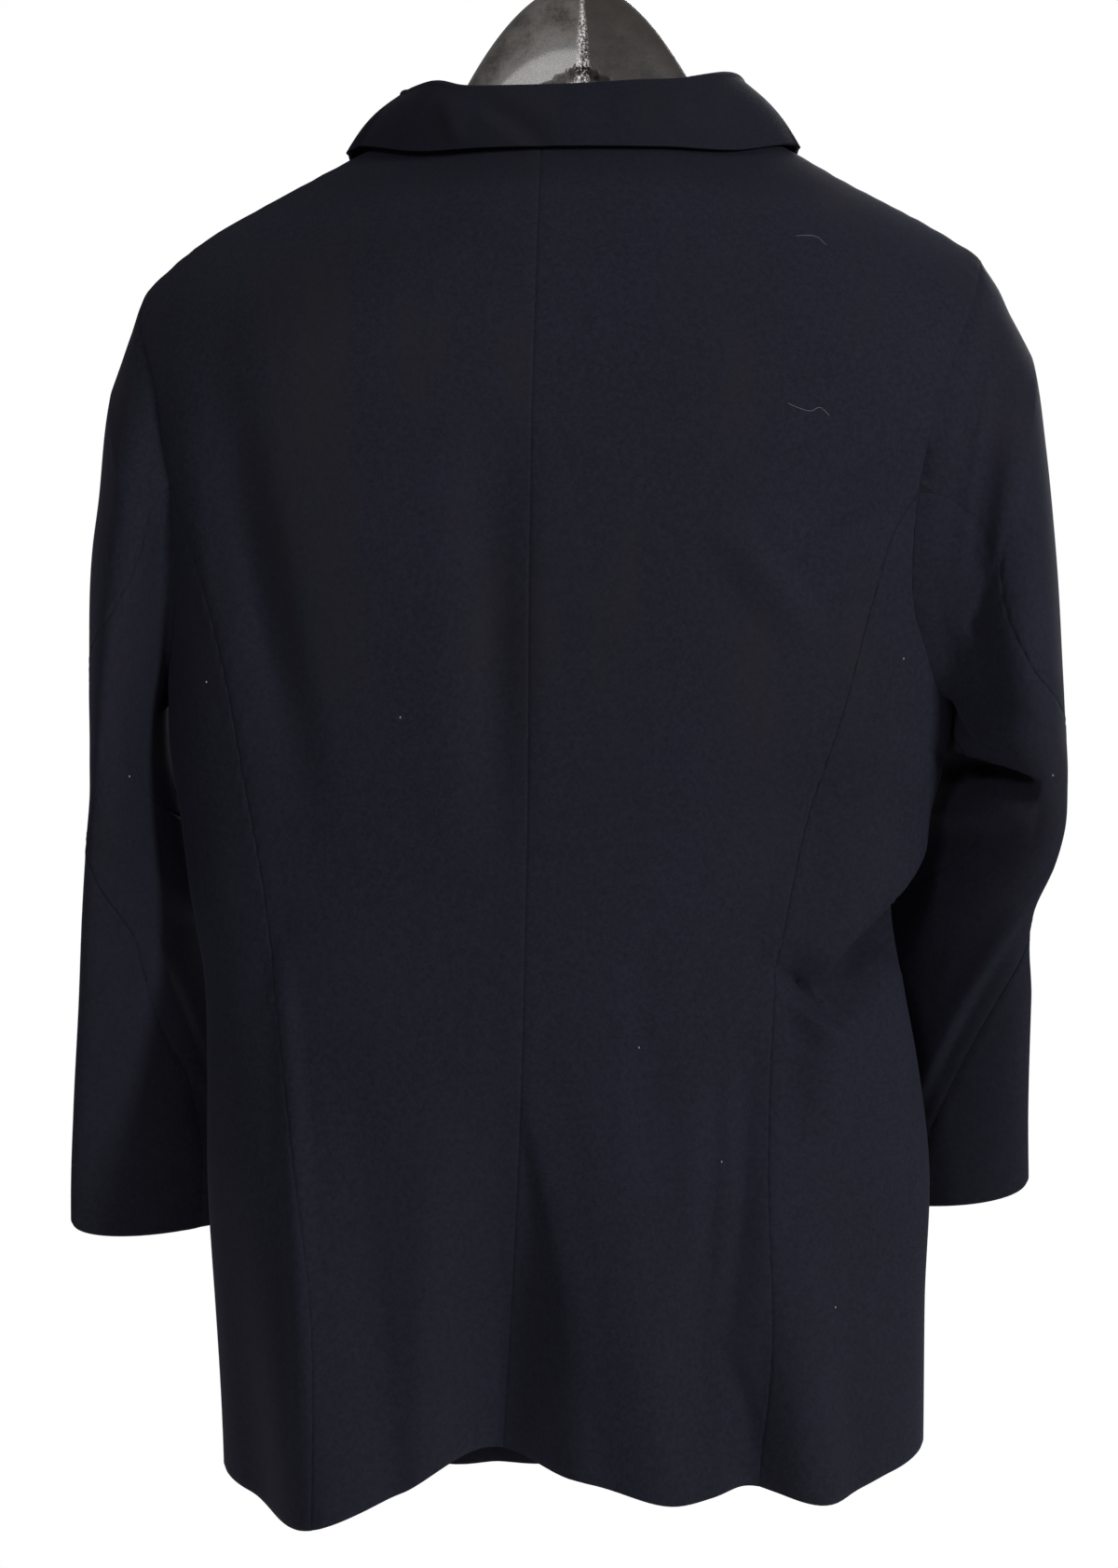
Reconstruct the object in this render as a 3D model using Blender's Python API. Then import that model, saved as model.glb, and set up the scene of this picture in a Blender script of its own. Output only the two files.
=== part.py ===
# A woman's suit jacket hanging on a broad-necked suit hanger.
#
# +Z is up, -Y is the jacket's back, +X is the wearer's right, in metres.
# The origin is where the hook bears on the rail that holds it up.
# Every cloth piece is a wall over one body surface or one sleeve tube. Both are worked out
# from the tables below, where a drop is a distance straight down from the origin.
import math

import bmesh
import bpy
import numpy as np

CLOTH = 0.0022
COLLAR_CLOTH, STAND_CLOTH = 0.0026, 0.0016
SEAM_GAP = 0.0004
ARMHOLE_GAP = 0.0007
LEFT, RIGHT = -1, 1

# The body's outline by height: how far it reaches left, right, back and front of the hook's
# own line, and how square its ring is. 2 is an ellipse.
BODY_COLUMNS = ("drop", "left", "right", "back", "front", "square")
BODY_ROWS = (
    (0.100, -0.262, 0.2430, 0.060, 0.052, 3.00),
    (0.160, -0.262, 0.2430, 0.072, 0.064, 3.00),
    (0.220, -0.255, 0.2370, 0.084, 0.079, 2.80),
    (0.280, -0.240, 0.2220, 0.092, 0.092, 2.60),
    (0.340, -0.229, 0.2060, 0.094, 0.099, 2.50),
    (0.400, -0.2215, 0.1990, 0.088, 0.099, 2.40),
    (0.430, -0.2205, 0.1985, 0.083, 0.096, 2.40),
    (0.4675, -0.2200, 0.1965, 0.077, 0.092, 2.35),
    (0.500, -0.2145, 0.1830, 0.070, 0.087, 2.30),
    (0.5395, -0.2090, 0.1685, 0.066, 0.083, 2.30),
    (0.5875, -0.2010, 0.1725, 0.068, 0.080, 2.30),
    (0.634, -0.1995, 0.1805, 0.073, 0.080, 2.30),
    (0.690, -0.1990, 0.1870, 0.080, 0.082, 2.35),
    (0.760, -0.1955, 0.1845, 0.085, 0.084, 2.40),
    (0.880, -0.1900, 0.1815, 0.087, 0.087, 2.40),
)

# The shoulder line, where back and front meet. Between the neck points it is only the line
# that the two surfaces would meet on.
SHOULDER_COLUMNS = ("across", "drop")
SHOULDER_ROWS = (
    (-0.262, 0.2550),
    (-0.2335, 0.2215),
    (-0.2175, 0.2055),
    (-0.1995, 0.1915),
    (-0.1715, 0.1755),
    (-0.1425, 0.1605),
    (-0.0850, 0.1310),
    (-0.0400, 0.1060),
    (0.0000, 0.0990),
    (0.0400, 0.1060),
    (0.0850, 0.1315),
    (0.1185, 0.1495),
    (0.1385, 0.1605),
    (0.1645, 0.1735),
    (0.1885, 0.1865),
    (0.2142, 0.2035),
    (0.2430, 0.2300),
)
SHOULDER_ROLL = 0.110
SHOULDER_FULLNESS = 0.75
NECK_HALF, NECK_ROUNDNESS = 0.085, 0.75
NECK_DIP = 0.0167

# Where the hem lies round the body: 0 is centre back, +90 the wearer's right side.
HEM_COLUMNS = ("turn", "drop")
HEM_ROWS = (
    (-200, 0.868),
    (-165, 0.868),
    (-125, 0.860),
    (-90, 0.848),
    (-62, 0.853),
    (-38, 0.861),
    (-24, 0.846),
    (-10, 0.827),
    (0, 0.838),
    (11, 0.849),
    (25, 0.844),
    (37, 0.851),
    (60, 0.842),
    (90, 0.836),
    (125, 0.856),
    (165, 0.868),
    (200, 0.868),
)
HEM_GUESS, HEM_ROUNDS = -0.85, 8

# Seams down the body, as places across it or turns round it.
CENTRE_BACK_COLUMNS = ("drop", "across")
CENTRE_BACK_ROWS = (
    (0.140, -0.0203),
    (0.220, -0.0228),
    (0.320, -0.0257),
    (0.460, -0.0270),
    (0.565, -0.0290),
    (0.6435, -0.0310),
    (0.740, -0.0360),
    (0.840, -0.0425),
)
BACK_SEAM_COLUMNS = ("drop", "across")
BACK_SEAM_ROWS = {
    LEFT: (
        (0.332, -0.2125),
        (0.380, -0.1968),
        (0.4315, -0.1843),
        (0.4852, -0.1747),
        (0.5352, -0.1661),
        (0.585, -0.1600),
        (0.670, -0.1450),
        (0.7616, -0.1310),
        (0.870, -0.1285),
    ),
    RIGHT: (
        (0.335, 0.1742),
        (0.350, 0.1640),
        (0.387, 0.1514),
        (0.4467, 0.1350),
        (0.5007, 0.1177),
        (0.5527, 0.1051),
        (0.6254, 0.0979),
        (0.6822, 0.0957),
        (0.780, 0.0966),
        (0.860, 0.0918),
    ),
}
FRONT_SEAM_COLUMNS = ("drop", "turn")
FRONT_SEAM_ROWS = (
    (0.370, 118.0),
    (0.450, 115.0),
    (0.550, 118.0),
    (0.700, 122.0),
    (0.870, 126.0),
)
ARMHOLE_COLUMNS = ("drop", "across")
BACK_ARMHOLE_ROWS = {
    LEFT: (
        (0.2215, -0.2335),
        (0.2435, -0.2335),
        (0.2628, -0.2275),
        (0.2810, -0.2222),
        (0.2987, -0.2190),
        (0.3320, -0.2125),
    ),
    RIGHT: (
        (0.2035, 0.2142),
        (0.2240, 0.2094),
        (0.2471, 0.2002),
        (0.2676, 0.1915),
        (0.2879, 0.1848),
        (0.3178, 0.1773),
        (0.3350, 0.1742),
    ),
}
FRONT_ARMHOLE_ROWS = {
    LEFT: (
        (0.2215, -0.2335),
        (0.2600, -0.2240),
        (0.3000, -0.2110),
        (0.3400, -0.2055),
        (0.3700, -0.2024),
    ),
    RIGHT: (
        (0.2035, 0.2142),
        (0.2500, 0.2000),
        (0.3000, 0.1855),
        (0.3400, 0.1815),
        (0.3700, 0.1824),
    ),
}
UNDERARM_COLUMNS = ("turn", "drop")
UNDERARM_ROWS = {
    LEFT: ((64.0, 0.332), (68.0, 0.373), (73.0, 0.402), (90.0, 0.428), (107.0, 0.408), (118.0, 0.370)),
    RIGHT: ((54.5, 0.335), (57.0, 0.380), (62.0, 0.410), (90.0, 0.430), (107.0, 0.408), (118.0, 0.370)),
}
UNDERARM_RADIUS = 0.15

# Front edges, from the shoulder's neck point down the lapel's roll to the hem.
FRONT_EDGE_COLUMNS = ("drop", "across")
FRONT_EDGE_ROWS = (
    (0.131, 0.0850),
    (0.150, 0.0790),
    (0.189, 0.0665),
    (0.300, 0.0310),
    (0.400, -0.0010),
    (0.470, -0.0200),
    (0.560, -0.0205),
    (0.800, -0.0205),
    (0.840, -0.0150),
    (0.869, 0.0010),
)
FRONT_TUCK = 0.0062
FRONT_TUCK_FROM, FRONT_TUCK_TO = -0.050, -0.024

# Folds: a soft ridge, or a valley where the height is below zero, along a straight line.
# A fold that grows is nothing at its top and full at its foot. One that fades is full midway.
FOLD_COLUMNS = ("side", "x0", "drop0", "x1", "drop1", "half", "height", "ends")
FOLD_ROWS = (
    ("back", -0.165, 0.570, -0.128, 0.870, 0.044, 0.0260, "grows"),
    ("back", -0.034, 0.600, -0.043, 0.860, 0.046, -0.0300, "grows"),
    ("back", 0.004, 0.620, 0.042, 0.860, 0.034, 0.0080, "grows"),
    ("back", 0.086, 0.610, 0.060, 0.830, 0.024, -0.0080, "fades"),
    ("back", 0.084, 0.740, 0.090, 0.870, 0.022, -0.0120, "grows"),
    ("back", 0.106, 0.680, 0.121, 0.870, 0.026, 0.0130, "grows"),
    ("back", -0.196, 0.235, -0.140, 0.520, 0.026, -0.0070, "fades"),
    ("back", -0.045, 0.300, -0.044, 0.530, 0.030, -0.0060, "fades"),
    ("back", 0.104, 0.356, 0.172, 0.320, 0.018, -0.0050, "fades"),
    ("back", 0.066, 0.350, 0.120, 0.415, 0.018, 0.0040, "fades"),
    ("back", 0.100, 0.572, 0.140, 0.606, 0.016, -0.0070, "fades"),
    ("back", 0.128, 0.590, 0.128, 0.670, 0.022, 0.0070, "fades"),
    ("front", -0.104, 0.420, -0.118, 0.880, 0.040, 0.0120, "grows"),
    ("front", -0.062, 0.520, -0.070, 0.880, 0.026, -0.0080, "grows"),
    ("front", 0.098, 0.430, 0.112, 0.880, 0.038, 0.0110, "grows"),
    ("front", 0.060, 0.560, 0.064, 0.880, 0.026, -0.0070, "grows"),
)
# The cloth that hangs over itself under the right arm: a ridge with a sharp lower side.
OVERHANG_TOP = (0.1950, 0.476)
OVERHANG_FOOT = (0.1180, 0.590)
OVERHANG_RISE, OVERHANG_DROP = 0.0110, 0.0110
OVERHANG_ABOVE, OVERHANG_LIP, OVERHANG_BELOW = 0.060, 0.009, 0.060

# Sleeves, by height: the outer edge seen from the back, half the flat width, half the
# thickness, the forearm's turn towards the front, and how far forward the middle is.
SLEEVE_COLUMNS = ("drop", "outer", "wide", "thin", "turn", "ahead")
SLEEVE_ROWS = {
    LEFT: (
        (0.2215, -0.2335, 0.012, 0.0120, 0, 0.000),
        (0.2305, -0.2405, 0.022, 0.0170, 0, 0.000),
        (0.2445, -0.2445, 0.034, 0.0200, 0, 0.000),
        (0.2645, -0.2485, 0.045, 0.0230, 0, 0.001),
        (0.2885, -0.2525, 0.053, 0.0250, 0, 0.002),
        (0.3375, -0.2565, 0.062, 0.0250, 0, 0.003),
        (0.3595, -0.2590, 0.067, 0.0240, 0, 0.004),
        (0.4335, -0.2590, 0.078, 0.0180, 2, 0.006),
        (0.4705, -0.2565, 0.079, 0.0160, 7, 0.010),
        (0.4895, -0.2560, 0.078, 0.0158, 12, 0.014),
        (0.5145, -0.2580, 0.077, 0.0160, 18, 0.018),
        (0.5500, -0.2618, 0.074, 0.0180, 25, 0.026),
        (0.6000, -0.2668, 0.070, 0.0200, 34, 0.038),
        (0.6600, -0.2735, 0.067, 0.0200, 46, 0.049),
        (0.7000, -0.2775, 0.065, 0.0210, 54, 0.056),
        (0.7500, -0.2785, 0.065, 0.0210, 56, 0.062),
    ),
    RIGHT: (
        (0.2035, 0.2142, 0.012, 0.0120, 0, 0.000),
        (0.2135, 0.2265, 0.026, 0.0190, 0, 0.000),
        (0.2345, 0.2345, 0.040, 0.0240, 0, 0.000),
        (0.2645, 0.2425, 0.051, 0.0280, 0, 0.001),
        (0.3045, 0.2485, 0.060, 0.0310, 0, 0.002),
        (0.3655, 0.2545, 0.070, 0.0300, 0, 0.004),
        (0.4295, 0.2575, 0.078, 0.0290, 0, 0.006),
        (0.4595, 0.2575, 0.079, 0.0290, 4, 0.010),
        (0.4855, 0.2555, 0.078, 0.0265, 14, 0.016),
        (0.5095, 0.2530, 0.077, 0.0230, 22, 0.020),
        (0.5275, 0.2485, 0.075, 0.0225, 27, 0.023),
        (0.5515, 0.2388, 0.072, 0.0210, 33, 0.028),
        (0.6000, 0.2400, 0.070, 0.0210, 40, 0.040),
        (0.6600, 0.2425, 0.067, 0.0210, 48, 0.052),
        (0.7000, 0.2450, 0.065, 0.0210, 52, 0.060),
        (0.7500, 0.2455, 0.065, 0.0210, 52, 0.063),
    ),
}
# The seam at the back of each sleeve winds round it: 0 is outermost, 90 the back, 180 inside.
SLEEVE_SEAM_COLUMNS = ("drop", "turn")
SLEEVE_SEAM_ROWS = {
    LEFT: (
        (0.332, 105.0),
        (0.369, 106.0),
        (0.400, 90.0),
        (0.435, 62.0),
        (0.470, 50.0),
        (0.500, 60.0),
        (0.525, 84.0),
        (0.555, 116.0),
        (0.587, 142.0),
        (0.620, 158.0),
        (0.660, 168.0),
        (0.740, 176.0),
    ),
    RIGHT: (
        (0.335, 105.0),
        (0.372, 112.0),
        (0.402, 106.0),
        (0.430, 80.0),
        (0.460, 54.0),
        (0.490, 47.0),
        (0.520, 58.0),
        (0.5515, 80.0),
        (0.5895, 114.0),
        (0.628, 141.0),
        (0.658, 157.0),
        (0.740, 172.0),
    ),
}
UNDER_SLEEVE_SPAN, UNDER_SLEEVE_NARROWS = 150.0, 25.0
SEAM_START, SEAM_SETTLES = 105.0, 0.22
SLEEVE_JOIN, JOIN_OUTSIDE, JOIN_INSIDE = 0.10, 0.5, 0.3
LEAVES_FROM, LEAVES_TO = 98.0, 126.0
# The sleeve's hem: its lowest drop, the turn where that is, and how much it rises opposite.
CUFF_COLUMNS = ("drop", "low_turn", "rise")
CUFF_ROWS = {LEFT: (0.7320, 150.0, 0.013), RIGHT: (0.7180, 185.0, 0.014)}

# The collar, round half the neck from centre back: the roll it turns over, then its edge.
COLLAR_CENTRE = -0.0040
COLLAR_COLUMNS = ("round", "roll_x", "roll_y", "roll_drop", "edge_x", "edge_drop", "edge_side")
COLLAR_ROWS = (
    (0.00, 0.0000, -0.0500, 0.1212, 0.0000, 0.1598, -1),
    (0.20, 0.0400, -0.0470, 0.1200, 0.0450, 0.1592, -1),
    (0.38, 0.0680, -0.0340, 0.1155, 0.0850, 0.1565, -1),
    (0.52, 0.0835, -0.0100, 0.1105, 0.1190, 0.1478, -1),
    (0.66, 0.0850, 0.0150, 0.1160, 0.1240, 0.1515, 1),
    (0.82, 0.0775, 0.0440, 0.1440, 0.1180, 0.1780, 1),
    (1.00, 0.0680, 0.0660, 0.1840, 0.1060, 0.1990, 1),
)
STAND_COLUMNS = ("round", "x", "y", "drop")
STAND_ROWS = (
    (0.00, 0.0000, -0.0492, 0.1473),
    (0.20, 0.0400, -0.0400, 0.1436),
    (0.38, 0.0660, -0.0240, 0.1368),
    (0.52, 0.0820, -0.0050, 0.1290),
    (0.66, 0.0815, 0.0170, 0.1350),
    (0.82, 0.0715, 0.0390, 0.1540),
    (1.00, 0.0620, 0.0560, 0.1840),
)
COLLAR_LIFT = 0.0040
ROLL_OUT, ROLL_UP = 0.0070, 0.0036
ROLL_IN, ROLL_CROWN, ROLL_SAG = 0.0008, 0.0006, 0.0022
COLLAR_BELLY = 0.0030

# Lapels, by how far down the roll: the roll's place, then the free edge's place.
LAPEL_COLUMNS = ("down", "roll_x", "roll_drop", "edge_x", "edge_drop")
LAPEL_ROWS = {
    LEFT: (
        (0.00, -0.0680, 0.1890, -0.1340, 0.2130),
        (0.15, -0.0590, 0.2180, -0.1240, 0.2480),
        (0.40, -0.0440, 0.2680, -0.0980, 0.3020),
        (0.70, -0.0260, 0.3260, -0.0600, 0.3560),
        (1.00, -0.0120, 0.3720, -0.0190, 0.3860),
    ),
    RIGHT: (
        (0.00, 0.0680, 0.1890, 0.1260, 0.2130),
        (0.15, 0.0560, 0.2280, 0.1180, 0.2560),
        (0.40, 0.0360, 0.2920, 0.0930, 0.3260),
        (0.70, 0.0120, 0.3720, 0.0480, 0.4080),
        (1.00, -0.0150, 0.4560, -0.0080, 0.4700),
    ),
}
LAPEL_CLEAR, LAPEL_ROLL = 0.0008, 0.0050
LAPEL_ROLL_AT, LAPEL_ROLL_SPREAD = 0.08, 0.22

# A button's half section, from its back face round the rim to the sunk middle of its front.
BUTTON_PROFILE_COLUMNS = ("radius", "height")
BUTTON_PROFILE = (
    (0.0085, 0.0000),
    (0.0110, 0.0012),
    (0.0110, 0.0026),
    (0.0098, 0.0036),
    (0.0086, 0.0036),
    (0.0074, 0.0020),
)
BUTTON_X = 0.000
BUTTON_DROPS = {"button_upper": 0.490, "button_lower": 0.600}
BUTTON_CLEAR = 0.0012

# The hanger: a domed neck with a crease down its middle, then arms inside the shoulders.
DOME_TOP_DROP = 0.0560
DOME_CURVE = 0.067
DOME_FOOT_DROP, DOME_FOOT_HALF = 0.172, 0.10
CREASE_DEPTH, CREASE_SLOPE = 0.0240, 0.13
ARM_TIP = {LEFT: -0.2180, RIGHT: 0.2000}
ARM_CLEAR = 0.0072
ARM_TALL_NECK, ARM_TALL_TIP = 0.052, 0.024
ARM_DEEP_NECK, ARM_DEEP_TIP = 0.0125, 0.0075
HANGER_STATIONS, HANGER_ROUND = 17, 14
HANGER_SQUARE = 0.85

HOOK_WIRE = 0.0020
HOOK_BEND = 0.0220
HOOK_SHANK = ((0.0, -0.0553), (0.0, -0.0500), (0.0035, -0.0455), (0.0105, -0.0405))
HOOK_START, HOOK_END, HOOK_STEP = -42, 211, 14

# Grid steps, chosen so that neighbours share the points of their seam.
ARMHOLE_STEPS, SEAM_STEPS = 8, 16
BACK_STEPS_NECK, BACK_STEPS_SHOULDER = 4, 7
FRONT_STEPS, SIDE_STEPS = 9, 7
COLLAR_STEPS, COLLAR_FALL_STEPS, STAND_STEPS = 30, 5, 3
LAPEL_STEPS_DOWN, LAPEL_STEPS_ACROSS = 14, 5
BUTTON_ROUND = 20
SLEEVE_TOP_STEPS = (0.0, 0.012, 0.03, 0.055, 0.09, 0.13, 0.18)
SLEEVE_LOWER_STEPS = 20
SHARP_EDGE = 50.0


def column(columns, rows, name, at):
    """Read one column of a table along its first column, as a smooth curve."""
    stations = np.array([row[0] for row in rows], dtype=float)
    values = np.array([row[columns.index(name)] for row in rows], dtype=float)
    slopes = np.gradient(values, stations)
    at = np.clip(np.asarray(at, dtype=float), stations[0], stations[-1])
    left = np.clip(np.searchsorted(stations, at) - 1, 0, len(stations) - 2)
    span = stations[left + 1] - stations[left]
    part = (at - stations[left]) / span
    start = (2 * part**3 - 3 * part**2 + 1) * values[left]
    start = start + (part**3 - 2 * part**2 + part) * span * slopes[left]
    end = (3 * part**2 - 2 * part**3) * values[left + 1]
    return start + end + (part**3 - part**2) * span * slopes[left + 1]


def smooth_step(low, high, value):
    part = np.clip((value - low) / (high - low), 0.0, 1.0)
    return part * part * (3 - 2 * part)


def unit(vectors):
    return vectors / np.maximum(np.linalg.norm(vectors, axis=-1, keepdims=True), 1e-12)


def shoulder_z(x):
    return -column(SHOULDER_COLUMNS, SHOULDER_ROWS, "drop", x)


def shoulder_fullness(x, z):
    """0 on the shoulder line, 1 where the cloth has rolled over to its full depth."""
    below = np.clip((shoulder_z(x) - z) / SHOULDER_ROLL, 0.0, 1.0)
    return np.sin(0.5 * math.pi * below) ** SHOULDER_FULLNESS


def body_ring(z):
    return [column(BODY_COLUMNS, BODY_ROWS, name, -z) for name in BODY_COLUMNS[1:]]


def plain_body(turn, z):
    """The body without its folds. turn is in degrees, 0 at centre back, +90 on the right."""
    left, right, back, front, square = body_ring(z)
    middle, half = (left + right) / 2, (right - left) / 2
    sine, cosine = np.sin(np.radians(turn)), np.cos(np.radians(turn))
    x = middle + half * np.sign(sine) * np.abs(sine) ** (2 / square)
    fullness = shoulder_fullness(x, z)
    depth = np.where(cosine >= 0, back, front) * np.abs(cosine) ** (2 / square) * fullness
    y = -np.sign(cosine) * (depth + 0.5 * SEAM_GAP * (1 - fullness))
    return np.stack([x, y, z], axis=-1)


def turn_at(x, z, facing):
    """The turn round the body of the point at x. facing is -1 on the back, 1 on the front."""
    left, right, _, _, square = body_ring(z)
    middle, half = (left + right) / 2, (right - left) / 2
    share = np.clip((x - middle) / half, -1.0, 1.0)
    turn = np.degrees(np.arcsin(np.sign(share) * np.abs(share) ** (square / 2)))
    if facing < 0:
        return turn
    return np.where(np.asarray(x) < 0, -180.0, 180.0) - turn


def outward(surface, turn, z):
    """The outward direction of a surface, from small steps along it."""
    step_turn, step_z = 0.25, 0.0010
    along = surface(turn + step_turn, z) - surface(turn - step_turn, z)
    down = surface(turn, z - 2 * step_z) - surface(turn, z)
    return unit(np.cross(down, along))


def fold_height(x, z, facing):
    """How far the folds push the cloth out, on its back where facing is -1."""
    height = np.zeros_like(x)
    for side, x0, drop0, x1, drop1, half, rise, ends in FOLD_ROWS:
        run = np.array([x1 - x0, drop0 - drop1])
        length = np.linalg.norm(run)
        offset = np.stack([x - x0, z + drop0], axis=-1)
        part = (offset @ run) / length**2
        across = np.abs(offset[..., 0] * run[1] - offset[..., 1] * run[0]) / length
        shape = np.cos(0.5 * math.pi * np.clip(across / half, 0, 1)) ** 2
        if ends == "grows":
            along = smooth_step(0.0, 0.9, part)
        else:
            along = np.sin(math.pi * np.clip(part, 0, 1)) ** 0.8
        height = height + np.where(facing == (-1 if side == "back" else 1), rise * shape * along, 0)
    return height


def overhang_height(x, z):
    top, foot = np.array(OVERHANG_TOP), np.array(OVERHANG_FOOT)
    run = np.array([foot[0] - top[0], top[1] - foot[1]])
    length = np.linalg.norm(run)
    offset = np.stack([x - top[0], z + top[1]], axis=-1)
    part = (offset @ run) / length**2
    above = (offset[..., 0] * run[1] - offset[..., 1] * run[0]) / length
    rise = OVERHANG_RISE * (1 - smooth_step(0, OVERHANG_ABOVE, above))
    fall = -OVERHANG_DROP * (1 - smooth_step(OVERHANG_LIP, OVERHANG_BELOW, -above))
    lip = smooth_step(-OVERHANG_LIP, 0, above)
    return (rise * lip + fall * (1 - lip)) * np.sin(math.pi * np.clip(part, 0, 1)) ** 0.5


def body(turn, z):
    """The outer face of the body's cloth, with its folds."""
    turn, z = np.broadcast_arrays(np.asarray(turn, dtype=float), np.asarray(z, dtype=float))
    base = plain_body(turn, z)
    cosine = np.cos(np.radians(turn))
    facing = np.where(cosine >= 0, -1, 1)
    flat = np.abs(cosine) ** 0.6
    below = smooth_step(0.0, 0.06, shoulder_z(base[..., 0]) - z)
    push = fold_height(base[..., 0], z, facing) * flat * below
    push = push + np.where(facing < 0, overhang_height(base[..., 0], z), 0)
    tuck = smooth_step(FRONT_TUCK_FROM, FRONT_TUCK_TO, base[..., 0])
    tuck = np.where((facing > 0) & (turn < 0), tuck, 0) * smooth_step(0.19, 0.36, -z)
    return base + outward(plain_body, turn, z) * (push - FRONT_TUCK * tuck)[..., None]


def body_outward(turn, z):
    return outward(body, np.asarray(turn, dtype=float), np.asarray(z, dtype=float))


def shoulder_outward(x):
    step = 0.002
    rise = (shoulder_z(x + step) - shoulder_z(x - step)) / (2 * step)
    return unit(np.stack([-rise, np.zeros_like(rise), np.ones_like(rise)], axis=-1))


def hem_z(turn):
    return -column(HEM_COLUMNS, HEM_ROWS, "drop", turn)


def patch(top, bottom, start, end, across, down):
    """Fill four flat edges with a grid: rows go down, columns go from start to end."""
    u, v = np.asarray(across)[None, :, None], np.asarray(down)[:, None, None]
    sides = (1 - u) * start[:, None] + u * end[:, None] + (1 - v) * top[None] + v * bottom[None]
    corners = (1 - u) * (1 - v) * top[0] + u * (1 - v) * top[-1]
    corners = corners + (1 - u) * v * bottom[0] + u * v * bottom[-1]
    return sides - corners


def edge_rows(z_top, z_junction, z_bottom):
    """Heights down a panel's outer edge: closer near the shoulder, even below the junction."""
    upper = [z_top + (z_junction - z_top) * (i / ARMHOLE_STEPS) ** 1.5 for i in range(ARMHOLE_STEPS)]
    lower = np.linspace(z_junction, z_bottom, SEAM_STEPS + 1)
    return np.array(upper + list(lower))


def row_shares(junction_share):
    upper = [junction_share * (i / ARMHOLE_STEPS) ** 1.5 for i in range(ARMHOLE_STEPS)]
    return np.array(upper + list(np.linspace(junction_share, 1.0, SEAM_STEPS + 1)))


def along_edge(columns, rows, name, z):
    return column(columns, rows, name, -z)


def seam_foot(columns, rows, facing):
    """Where a seam meets the hem."""
    z = HEM_GUESS
    for _ in range(HEM_ROUNDS):
        x = along_edge(columns, rows, "across", np.array(z))
        z = float(hem_z(turn_at(x, np.array(z), facing)))
    return z


def front_seam_foot(side):
    z = HEM_GUESS
    for _ in range(HEM_ROUNDS):
        z = float(hem_z(side * along_edge(FRONT_SEAM_COLUMNS, FRONT_SEAM_ROWS, "turn", np.array(z))))
    return z


def front_seam_x(side, z):
    turn = side * along_edge(FRONT_SEAM_COLUMNS, FRONT_SEAM_ROWS, "turn", z)
    return plain_body(turn, z)[..., 0]


def wall(name, outer, outs, thickness, material):
    """A cloth wall: a grid of outer points, the same grid moved in, and their edges."""
    rows, columns = outer.shape[:2]
    inner = outer - outs * thickness
    points = np.concatenate([outer.reshape(-1, 3), inner.reshape(-1, 3)])
    faces = []

    def at(row, col, layer):
        return layer * rows * columns + row * columns + col

    for row in range(rows - 1):
        for col in range(columns - 1):
            cell = [(row, col), (row, col + 1), (row + 1, col + 1), (row + 1, col)]
            faces.append([at(r, c, 0) for r, c in cell])
            faces.append([at(r, c, 1) for r, c in reversed(cell)])
    last = rows - 1
    for col in range(columns - 1):
        faces.append([at(0, col + 1, 0), at(0, col, 0), at(0, col, 1), at(0, col + 1, 1)])
        faces.append([at(last, col, 0), at(last, col + 1, 0), at(last, col + 1, 1), at(last, col, 1)])
    last = columns - 1
    for row in range(rows - 1):
        faces.append([at(row, 0, 0), at(row + 1, 0, 0), at(row + 1, 0, 1), at(row, 0, 1)])
        faces.append([at(row + 1, last, 0), at(row, last, 0), at(row, last, 1), at(row + 1, last, 1)])
    solid(name, points, faces, material)


def solid(name, points, faces, material):
    mesh = bpy.data.meshes.new(name)
    mesh.from_pydata([tuple(point) for point in points], [], faces)
    shape = bmesh.new()
    shape.from_mesh(mesh)
    bmesh.ops.triangulate(shape, faces=shape.faces[:])
    bmesh.ops.recalc_face_normals(shape, faces=shape.faces[:])
    shape.to_mesh(mesh)
    shape.free()
    mesh.materials.append(material)
    mesh.shade_smooth()
    mesh.set_sharp_from_angle(angle=math.radians(SHARP_EDGE))
    piece = bpy.data.objects.new(name, mesh)
    bpy.context.scene.collection.objects.link(piece)


def finish(name, colour, roughness, metallic=0.0):
    material = bpy.data.materials.new(name)
    material.use_nodes = True
    shader = material.node_tree.nodes["Principled BSDF"]
    shader.inputs["Base Color"].default_value = (*colour, 1.0)
    shader.inputs["Roughness"].default_value = roughness
    shader.inputs["Metallic"].default_value = metallic
    return material


def side_name(side):
    return "left" if side == LEFT else "right"


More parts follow.
